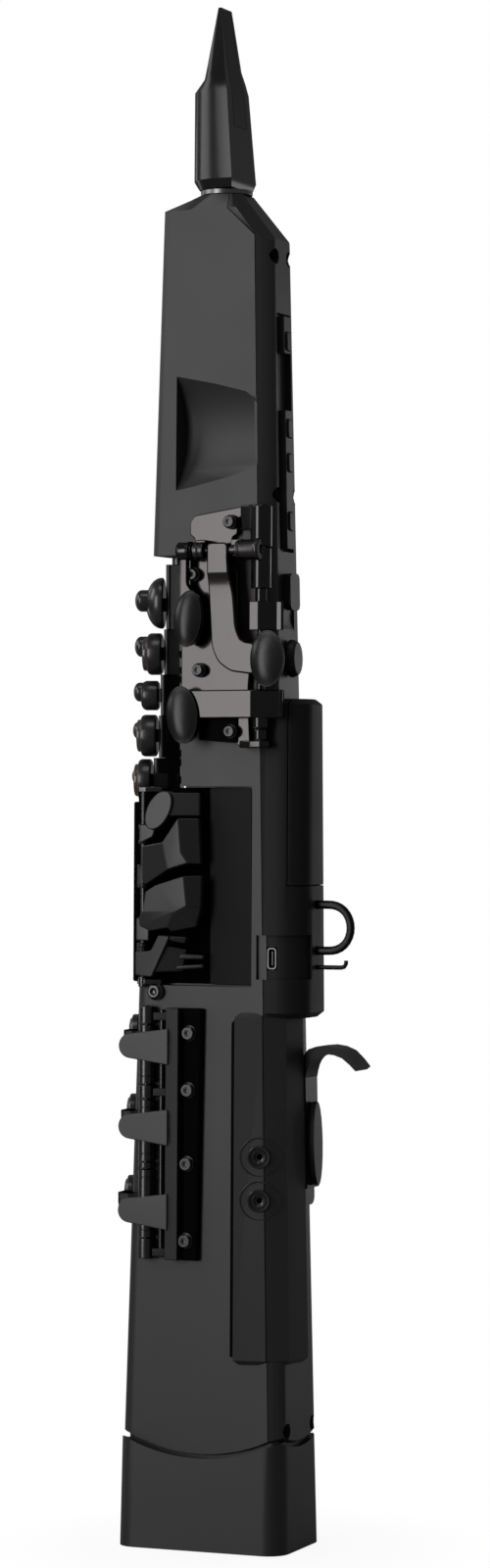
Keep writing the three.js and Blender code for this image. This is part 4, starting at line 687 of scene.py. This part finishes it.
face_finish = moulded_plastic("touch_plastic", (0.006, 0.006, 0.0065), 0.28, depth=0.03,
                              specular=0.32)
strap_outline = [(-1.2, 38.4), (-1.2, 20), (-0.9, 10), (0.1, -8.4), (3.3, -15.3), (9.5, -19.6),
                 (22, -21.2), (22, -7), (15, -6), (12.4, 0.2), (11.4, 15), (10, 22), (9.4, 31),
                 (9.4, 38.4)]
strap_cuts = (31, 25.6, 25.1, 24.6, 24, 22.5, 21, 19.4, 17.6, 15.6, 13, 10, 6, 0, -6, -12)
strap_bow = arched(slab(curved(strap_outline, 2.6, 4), 8.4, 10.6), strap_cuts, strap_step)
strap_pad = slab(curved(oblong(16, 27, -19.6, -7.6), 1), 9, 10.2)
strap = [strap_bow, barrel(3.1, -1.2, 9.4), strap_pad]
built("palm_d_key_strap", strap, palm_metal, "palm_d_key", palm, width=0.9, segments=4)
d_touch = touch(tall=12.8, wide=8.2, low=9.2, top=13.4, back=29, up=-14.2)
built("palm_d_key_touch", [d_touch], face_finish, "palm_d_key", palm, replaces=False)

arm_outline = [(-16.4, 36), (-16.4, 8), (-8, 2), (-7.4, 14), (-12.6, 20), (-12.6, 36)]
short_arm = [barrel(4, -16.8, -9.1, (-11,)), slab(curved(arm_outline, 1.6), 7, 10.2)]
built("palm_e_flat_key_arm", short_arm, palm_metal, "palm_e_flat_key", palm, width=0.7)
e_touch = touch(tall=12.9, wide=6.6, low=6.8, top=13.3, back=-11.2, up=4.4, lean=-4)
built("palm_e_flat_key_touch", [e_touch], face_finish, "palm_e_flat_key", palm, replaces=False)

bar_outline = [(6.6, -15), (9.7, -15), (9.7, 19.6), (9.4, 20.4), (4.6, 31), (4.2, 32.6),
               (1.4, 32.4), (1.4, 20), (6.6, 17.4)]
bar = [plan(curved(bar_outline, 0.4), -40.6, -27.8), rod(3.9, -45.4, -28.5, palm_rod)]
built("palm_f_key_bar", bar, palm_metal, "palm_f_key", palm, width=0.7)
f_touch = touch(tall=13.1, wide=7.5, low=6.6, top=13.3, back=-13.9, up=-39, lean=7)
built("palm_f_key_touch", [f_touch], face_finish, "palm_f_key", palm, replaces=False)


# Little-finger keys
# Four sculpted touches over the side pocket turn on one rod. Each is a moulding with sloped
# facets on top and a skirt that reaches down toward the pocket, and two hinge tabs on the rod.
def faceted(base, points, faces=None):
    """A moulding from the corners (back, up, out) of its top, with a skirt down to a base."""
    shape = bmesh.new()
    tops = [shape.verts.new((out, back, up)) for back, up, out in points]
    for corners in faces or [range(len(points))]:
        shape.faces.new([tops[corner] for corner in corners])
    rim = [edge for edge in shape.edges if len(edge.link_faces) == 1]
    grown = bmesh.ops.extrude_edge_only(shape, edges=rim)
    for foot in grown["geom"]:
        if isinstance(foot, bmesh.types.BMVert):
            foot.co.x = base
    open_edges = [edge for edge in shape.edges if len(edge.link_faces) == 1]
    bmesh.ops.holes_fill(shape, edges=open_edges)
    bmesh.ops.recalc_face_normals(shape, faces=shape.faces[:])
    return shape


pinky = local_frame((12.92376, -21.84045, 300), across=(0.99711, -0.07461, 0.01439),
                    up=(-0.01443, 0, 0.9999))
pinky_rod = (2.9, -19.6)
pinky_plastic = moulded_plastic("pinky_plastic", (0.014, 0.014, 0.0145), 0.34, depth=0.05,
                                specular=0.32, coat=0.12)
disc_back, disc_up, disc_out = -9.4, 34, 8.5
disc_deep, disc_tall, disc_skew, disc_corners = 7.0, 8.9, math.radians(27), 28
round_face = [(disc_back + disc_deep * math.cos(turn),
               disc_up + disc_tall * math.sin(turn + disc_skew), disc_out)
              for turn in (math.tau * step / disc_corners for step in range(disc_corners))]
tab_radius, tab_tall = 2.3, 2.2
pinky_tops = {
    # Level of the skirt's foot, corners of the top, and its facets where it has more than one.
    # The last moulding of each key is the foot that holds it to the rod.
    "g_sharp_key": [
        (3.4, round_face),
        (1.2, [(-5, 42, 7.6), (9.1, 42, 3.2), (9.1, 31.4, 3.2), (-5, 31.4, 7.6)]),
        (1.6, [(-20.6, 27.7, 5.8), (-17.4, 27.7, 5.8), (-12.4, 25, 5.8), (-13.6, 21.8, 5.8),
               (-20.6, 18.7, 5.8)]),
    ],
    "low_c_sharp_key": [
        (1.8, [(-19.2, 17.9, 5.6), (-7.2, 19.6, 8.8), (-4.3, 7.1, 8.8), (-17.5, 0.1, 5.6),
               (-19.3, 2.3, 5.2), (0.7, 30.4, 9), (2.4, 14.9, 9.1), (5.9, 10, 8.4),
               (9.4, 30.4, 4.6), (10.3, 9.6, 4.4)],
         [(0, 1, 2, 3, 4), (1, 5, 6, 7, 2), (5, 8, 9, 7, 6)]),
        (1.6, [(-22.1, 9.4, 4.8), (-18.4, 9.4, 5), (-18.4, -1.3, 5), (-22.1, -1.3, 4.8)]),
    ],
    "low_b_key": [
        (1.8, [(-15.8, -3, 8.5), (-10.2, 0.2, 8.8), (3.8, 4.3, 9), (5.4, -9.4, 9),
               (-0.7, -12.1, 8.8), (-17.4, -11.5, 8.3), (-19.8, -15.1, 7.4),
               (-19.7, -18.6, 6.8), (-14.6, -20.8, 6.6), (-5.2, -19.3, 7), (11, 4.6, 4.6),
               (10.6, -10.3, 4.6), (8.1, -18.7, 4.4), (-4.5, -21, 5.2)],
         [(0, 1, 2, 3, 4, 5), (5, 4, 9, 8, 7, 6), (2, 10, 11, 3), (3, 11, 12, 4),
          (4, 12, 13, 9)]),
        (1.6, [(-21.9, -14.7, 5.8), (-15, -15.4, 5.8), (-15.3, -25.3, 5.8),
               (-21.9, -25.3, 5.8)]),
    ],
    "low_b_flat_key": [
        (1.8, [(-22, -30.2, 6.2), (-14.2, -29.7, 6.5), (-10, -22.6, 6.9), (-4.5, -22.8, 7),
               (-4.5, -24.2, 7), (-13.1, -41.2, 6.6), (-14.7, -41.7, 6.5), (-22, -40.9, 6.2)]),
        (1, [(-9, -27, 5.8), (2, -29, 1.6), (0, -39, 1.6), (-12.6, -39.4, 5.6)]),
        (1.4, [(-5, -23, 6), (2.9, -23.2, 3.4), (1.9, -26.4, 3.4), (-4.5, -25.1, 6)]),
        (1.2, [(0, -30.8, 4.6), (10.9, -31.5, 2.4), (10.9, -33.3, 2.4), (-0.7, -33.5, 4.6)]),
        (1.2, [(-1.2, -36.1, 4.6), (10.4, -35.5, 2.4), (10.9, -37.3, 2.4), (-2.7, -38.4, 4.6)]),
        (1.6, [(-22.4, -26.2, 4.2), (-19.3, -26.2, 4.6), (-19.3, -40, 4.6), (-22.4, -40, 4.2)]),
    ],
}
for node, tops in pinky_tops.items():
    mouldings = [faceted(*top) for top in tops]
    built(node + "_touch", mouldings, pinky_plastic, node, pinky, width=0.7, angle=12, segments=3)
    ups = [up for _, up, _ in tops[-1][1]]
    tabs = [rod(tab_radius, low, low + tab_tall, pinky_rod)
            for low in (min(ups), max(ups) - tab_tall)]
    built(node + "_hinge", tabs, key_lever, node, pinky, replaces=False)

# Little-finger key rod and pocket
# A black nickel rod held by a lug at each end, with a socket screw under it. Near-black sheets
# on the pocket's floor and wall below the touches are painted shade, and a moulded apron covers
# the ramp beside it, darker than the case plastic as painted shade.
posts = [rod(1.2, -45, 44.6, pinky_rod), rod(2.1, -46.4, -41.6, pinky_rod)]
posts += socket_screw(3.4, 1.8, 4, -13.9, -48.4)
lug_outline = [(-3.7, -22), (4.6, -22), (4.6, -18), (1.4, -11), (-3.7, -11)]
for low, high in ((-45, -42.8), (42.4, 44.6)):
    posts.append(plan(curved(lug_outline, 0.8), low, high))
built("pinky_key_rod_posts", posts, rod_metal, "pinky_key_rod", pinky, width=0.25)

floor_rise, floor_slope, floor_middle = 0.0144, 0.0748, 14.6
# Near-black sheets on the pocket's floor and wall: painted shade.
pocket_floor_shade = slab(curved(oblong(-25.5, 14.4, -44.6, 44.4), 1), -6.9, -6.4)
for corner in pocket_floor_shade.verts:
    corner.co.x += floor_rise * corner.co.z - floor_slope * (corner.co.y - floor_middle)
pocket_wall_shade = slab(curved(oblong(-27, -19.6, -44, 38), 1), -6.6, -1.2)
pocket_shade_finish = moulded_plastic("pocket_shade_black", (0.0015, 0.0015, 0.0015), 0.95, grain=0.0002, depth=0.6,
                       specular=0.02)
built("pinky_key_rod_pocket_shade", [pocket_floor_shade, pocket_wall_shade], pocket_shade_finish, "pinky_key_rod", pinky,
      replaces=False, width=0.3)

ramp_foot, ramp_slope, ramp_sunk, ramp_rise = 16, 0.137, 2.96, 0.0143
apron = slab(curved(oblong(10.9, 33.8, -44.8, 44.4), 1.6), -0.8, 0)
for corner in apron.verts:
    corner.co.x += (corner.co.y - ramp_foot) * ramp_slope - ramp_sunk + corner.co.z * ramp_rise
# The moulded apron's plastic is made darker than the case plastic as painted shade of the pocket.
apron_shade_finish = moulded_plastic("apron_shaded_plastic", (0.0035, 0.0035, 0.0037), 0.5, specular=0.16)
built("pinky_key_rod_apron", [apron], apron_shade_finish, "pinky_key_rod", pinky, replaces=False,
      width=0.4)

# Side plate
# A long glossy black plate with a raised bead down its rear edge, held to the flank by four grey
# socket screws.
lower = local_frame((14.94492, -16.54045, 187.5), across=(0.9971, -0.07467, 0.0144),
                    up=(-0.01444, 0, 0.9999))
plate_gloss = moulded_plastic("plate_gloss", (0.0016, 0.0016, 0.0018), 0.4, depth=0.02,
                              specular=0.008)
screw_grey = plated_metal("screw_grey", (0.045, 0.045, 0.046), 0.3)
panel_outline = [(-4.8, -57.1), (3.6, -57.1), (5.4, 57), (-4.8, 57)]
bead_outline = [(2.4, -56.6), (3.4, -56.6), (4.8, 56.6), (3.8, 56.6)]
panel_screws = ((-1, 45.7), (-1.3, 19.9), (-1.8, -13.4), (-2.3, -48.2))
panel = [slab(curved(panel_outline, 0.8), 0.3, 2.6), slab(curved(bead_outline, 0.2), 2.2, 3.1)]
screws = [shape for back, up in panel_screws for shape in socket_screw(3.3, 2.4, 5.2, back, up)]
built("side_plate_panel", panel, plate_gloss, "side_plate", lower, width=0.3)
built("side_plate_screws", screws, screw_grey, "side_plate", lower, replaces=False)

# Guard strip
# A moulded strip beside the side plate with three finger guards, thin rounded wings that stand
# out to the front, one by each of the lower keys. The rail is given a darker copy of the guards'
# plastic as painted shade.
guard_finish = moulded_plastic("guard_plastic", (0.02, 0.02, 0.0205), 0.4, depth=0.06)
# A darker copy of the guard plastic for the rail: painted shade.
rail_shade_finish = moulded_plastic("rail_shaded_plastic", (0.006, 0.006, 0.0062), 0.42, depth=0.06,
                               specular=0.25)
wing_end, wing_radius, wing_root = -29.6, 5.6, -9.8
wing_turns = [math.radians(98 + 13.7 * step) for step in range(13)]
strip = [slab(curved(oblong(-11.6, -5, -57, 57), 0.6), 0.3, 6.2)]
wings = []
for up in (39.5, 2.9, -35.2):
    tip = [(wing_end + wing_radius * math.cos(turn), up + wing_radius * math.sin(turn))
           for turn in wing_turns]
    wings.append(slab([(wing_root, up + 8.2)] + tip + [(wing_root, up - 8.4)], 5, 7.1))
    strip.append(slab(curved(oblong(-13.6, -8, up + 7.2, up - 7.4), 1), 2.4, 6.2))
built("guard_strip_wings", wings, guard_finish, "guard_strip", lower, width=0.55, segments=3)
built("guard_strip_rail", strip, rail_shade_finish, "guard_strip", lower, replaces=False, width=0.4)

# Lower key rod
# The rod of the lower stack shows as plated stubs between the keys' tubes. Three small bridges
# stand on it and hold two thin rods that run behind it.
lower_middle, lower_rod_x, lower_rod_y, lower_lean = 187.5, 16.14654, -37.99006, 0.01444
lower_rod = local_frame((lower_rod_x, lower_rod_y, 187.51735), across=(0.9999, 0, lower_lean),
                        up=(-lower_lean, 0, 0.9999))
tube_at, tube_radius = (0.4, -1.2), 3.7
stubs = [rod(tube_radius, low, high, tube_at)
         for low, high in ((49.6, 57.6), (15.7, 21.9), (-16.1, -13.2), (-57, -47.6))]
stubs += [rod(1.4, -57, 58, tube_at), rod(1.1, -56.4, 56.2, (-0.6, 5.8)),
          rod(0.6, -56.4, 56.2, (-0.6, 8.2))]
built("lower_key_rod_tubes", stubs, rod_metal, "lower_key_rod", lower_rod, width=0.25)
bridge_outline = [(-3.4, 0), (1, -1), (1.4, 2), (0.4, 8.6), (-3, 9)]
bridges = [plan(curved(bridge_outline, 0.6), up - 1.8, up + 1.8) for up in (-54, 18.6, 53)]
built("lower_key_rod_bridges", bridges, key_lever, "lower_key_rod", lower_rod, replaces=False,
      width=0.3)

# Lower stack
# Three keys on the lower rod. Each is a long plated tube with a groove near either end, an arm
# round to the front, and a round cup with a brown pearl.
lower_keys = {"f_key": (231, 22.3, 49.2), "e_key": (194.5, -12.8, 15.3),
              "d_key": (157, -47.3, -16.4)}
swing_lower = Matrix.Rotation(to_left, 4, "Z")
groove = tube_radius - 0.3
cup_profile = [(0, -4.7), (8.4, -4.7), (9.2, -4), (9.2, -1.9), (8.8, -1.3), (8.1, -1.1),
               (7.9, -1.5), (0, -1.5)]
pearl_profile = [(0, -1.3), (7.5, -1.3), (7.5, -0.7), (7.1, -0.25), (6.2, 0), (0, 0.05)]
for node, (level, low, high) in lower_keys.items():
    tube_profile = [(1.7, low), (tube_radius, low + 0.3), (tube_radius, low + 3.2),
                    (groove, low + 3.4), (groove, low + 3.8), (tube_radius, low + 4),
                    (tube_radius, high - 4), (groove, high - 3.8), (groove, high - 3.4),
                    (tube_radius, high - 3.2), (tube_radius, high - 0.3), (1.7, high),
                    (1.7, low)]
    tube = moved(turned(tube_profile, 32), shift(*tube_at, 0))
    built(node + "_tube", [tube], rod_metal, node, lower_rod, replaces=False)
    cup_x, cup_back = axis_at[0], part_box(node)[0].y * 1000
    at = local_frame((cup_x, cup_back, level))
    cup_bowl, cup_pearl = [moved(turned(profile, 40), forward, swing_lower)
                           for profile in (cup_profile, pearl_profile)]
    built(node + "_cup", [cup_bowl], key_gloss, node, at)
    built(node + "_pearl", [cup_pearl], pearl, node, at, replaces=False)
    rod_x = lower_rod_x - lower_lean * (level - lower_middle) - cup_x
    rod_y = lower_rod_y - cup_back
    arm = curved([(rod_x + 2.2, rod_y + 1), (rod_x - 1, rod_y + 1), (rod_x - 2.6, 4), (0, 3.4),
                  (0, 2), (rod_x - 5, 2.6), (rod_x + 2.2, rod_y - 1.5)], 0.7)
    built(node + "_arm", [plan(arm, -2.8, 2.8)], key_lever, node, at, replaces=False, width=0.5)

# Painted shade beside the jack housing
# A thin black strip in the corner where the raised jack housing stands on the flank, along its
# front and upper edge: painted shade of the groove there.
groove_shade_outline = [(19, -99.7), (19, 50.5), (22.2, 54.2), (31.4, 54.4), (31.4, 52.9), (22.9, 52.7),
                (20.7, 49.6), (20.7, -99.7)]
# A black strip standing in for the groove's shade.
groove_shade = slab(curved(groove_shade_outline, 0.5), 0.02, 0.3)
built("front_shell_groove_shade", [groove_shade], shade_black, "front_shell", lower, replaces=False, width=0.1)

# Lips of the body's seam
# Behind the fine seam on either flank the front shell carries a moulded lip that laps the rear
# shell's wall, so that no light comes through.
lip_ends = ((58, 22.56, 21.49), (585, 14.05, 11.73))
lip_section = ((-0.3, -1.3), (0.3, -1.3), (0.3, 1.6), (-0.3, 1.6))
lip_inset = 1.4
lip_at = local_frame((axis_at[0], 0, 0))
for name, side in (("front_shell_lip_left", 1), ("front_shell_lip_right", -1)):
    lip = bmesh.new()
    foot_ring, head_ring = [
        [lip.verts.new((side * (half - lip_inset) + x, seam + y, level)) for x, y in lip_section]
        for level, half, seam in lip_ends]
    band(lip, foot_ring, head_ring)
    lip.faces.new(foot_ring)
    lip.faces.new(head_ring)
    bmesh.ops.recalc_face_normals(lip, faces=lip.faces[:])
    built(name, [lip], case_plastic, "front_shell", lip_at, replaces=False, width=0.05)

# Right side keys
# One long rod with three lugs, three side keys and two low keys, plated and moulded like the
# ones on the left.
rounded_solid("right_key_rod", rod_metal, 0.0002)
for node in ("side_e_key", "side_c_key", "side_b_flat_key", "low_e_flat_key", "low_c_key"):
    rounded_solid(node, pinky_plastic, 0.0008, segments=3)

# Thumb side controls
# The octave key, the thumb controller and four buttons are small black mouldings in the trough
# of the rear shell, each in a seat of its own.
control = moulded_plastic("control_plastic", (0.006, 0.006, 0.0065), 0.42, specular=0.3)
for node in ("octave_key", "thumb_controller", "power_button", "minus_button", "plus_button",
             "select_button"):
    rounded_solid(node, control, 0.0005, segments=3)
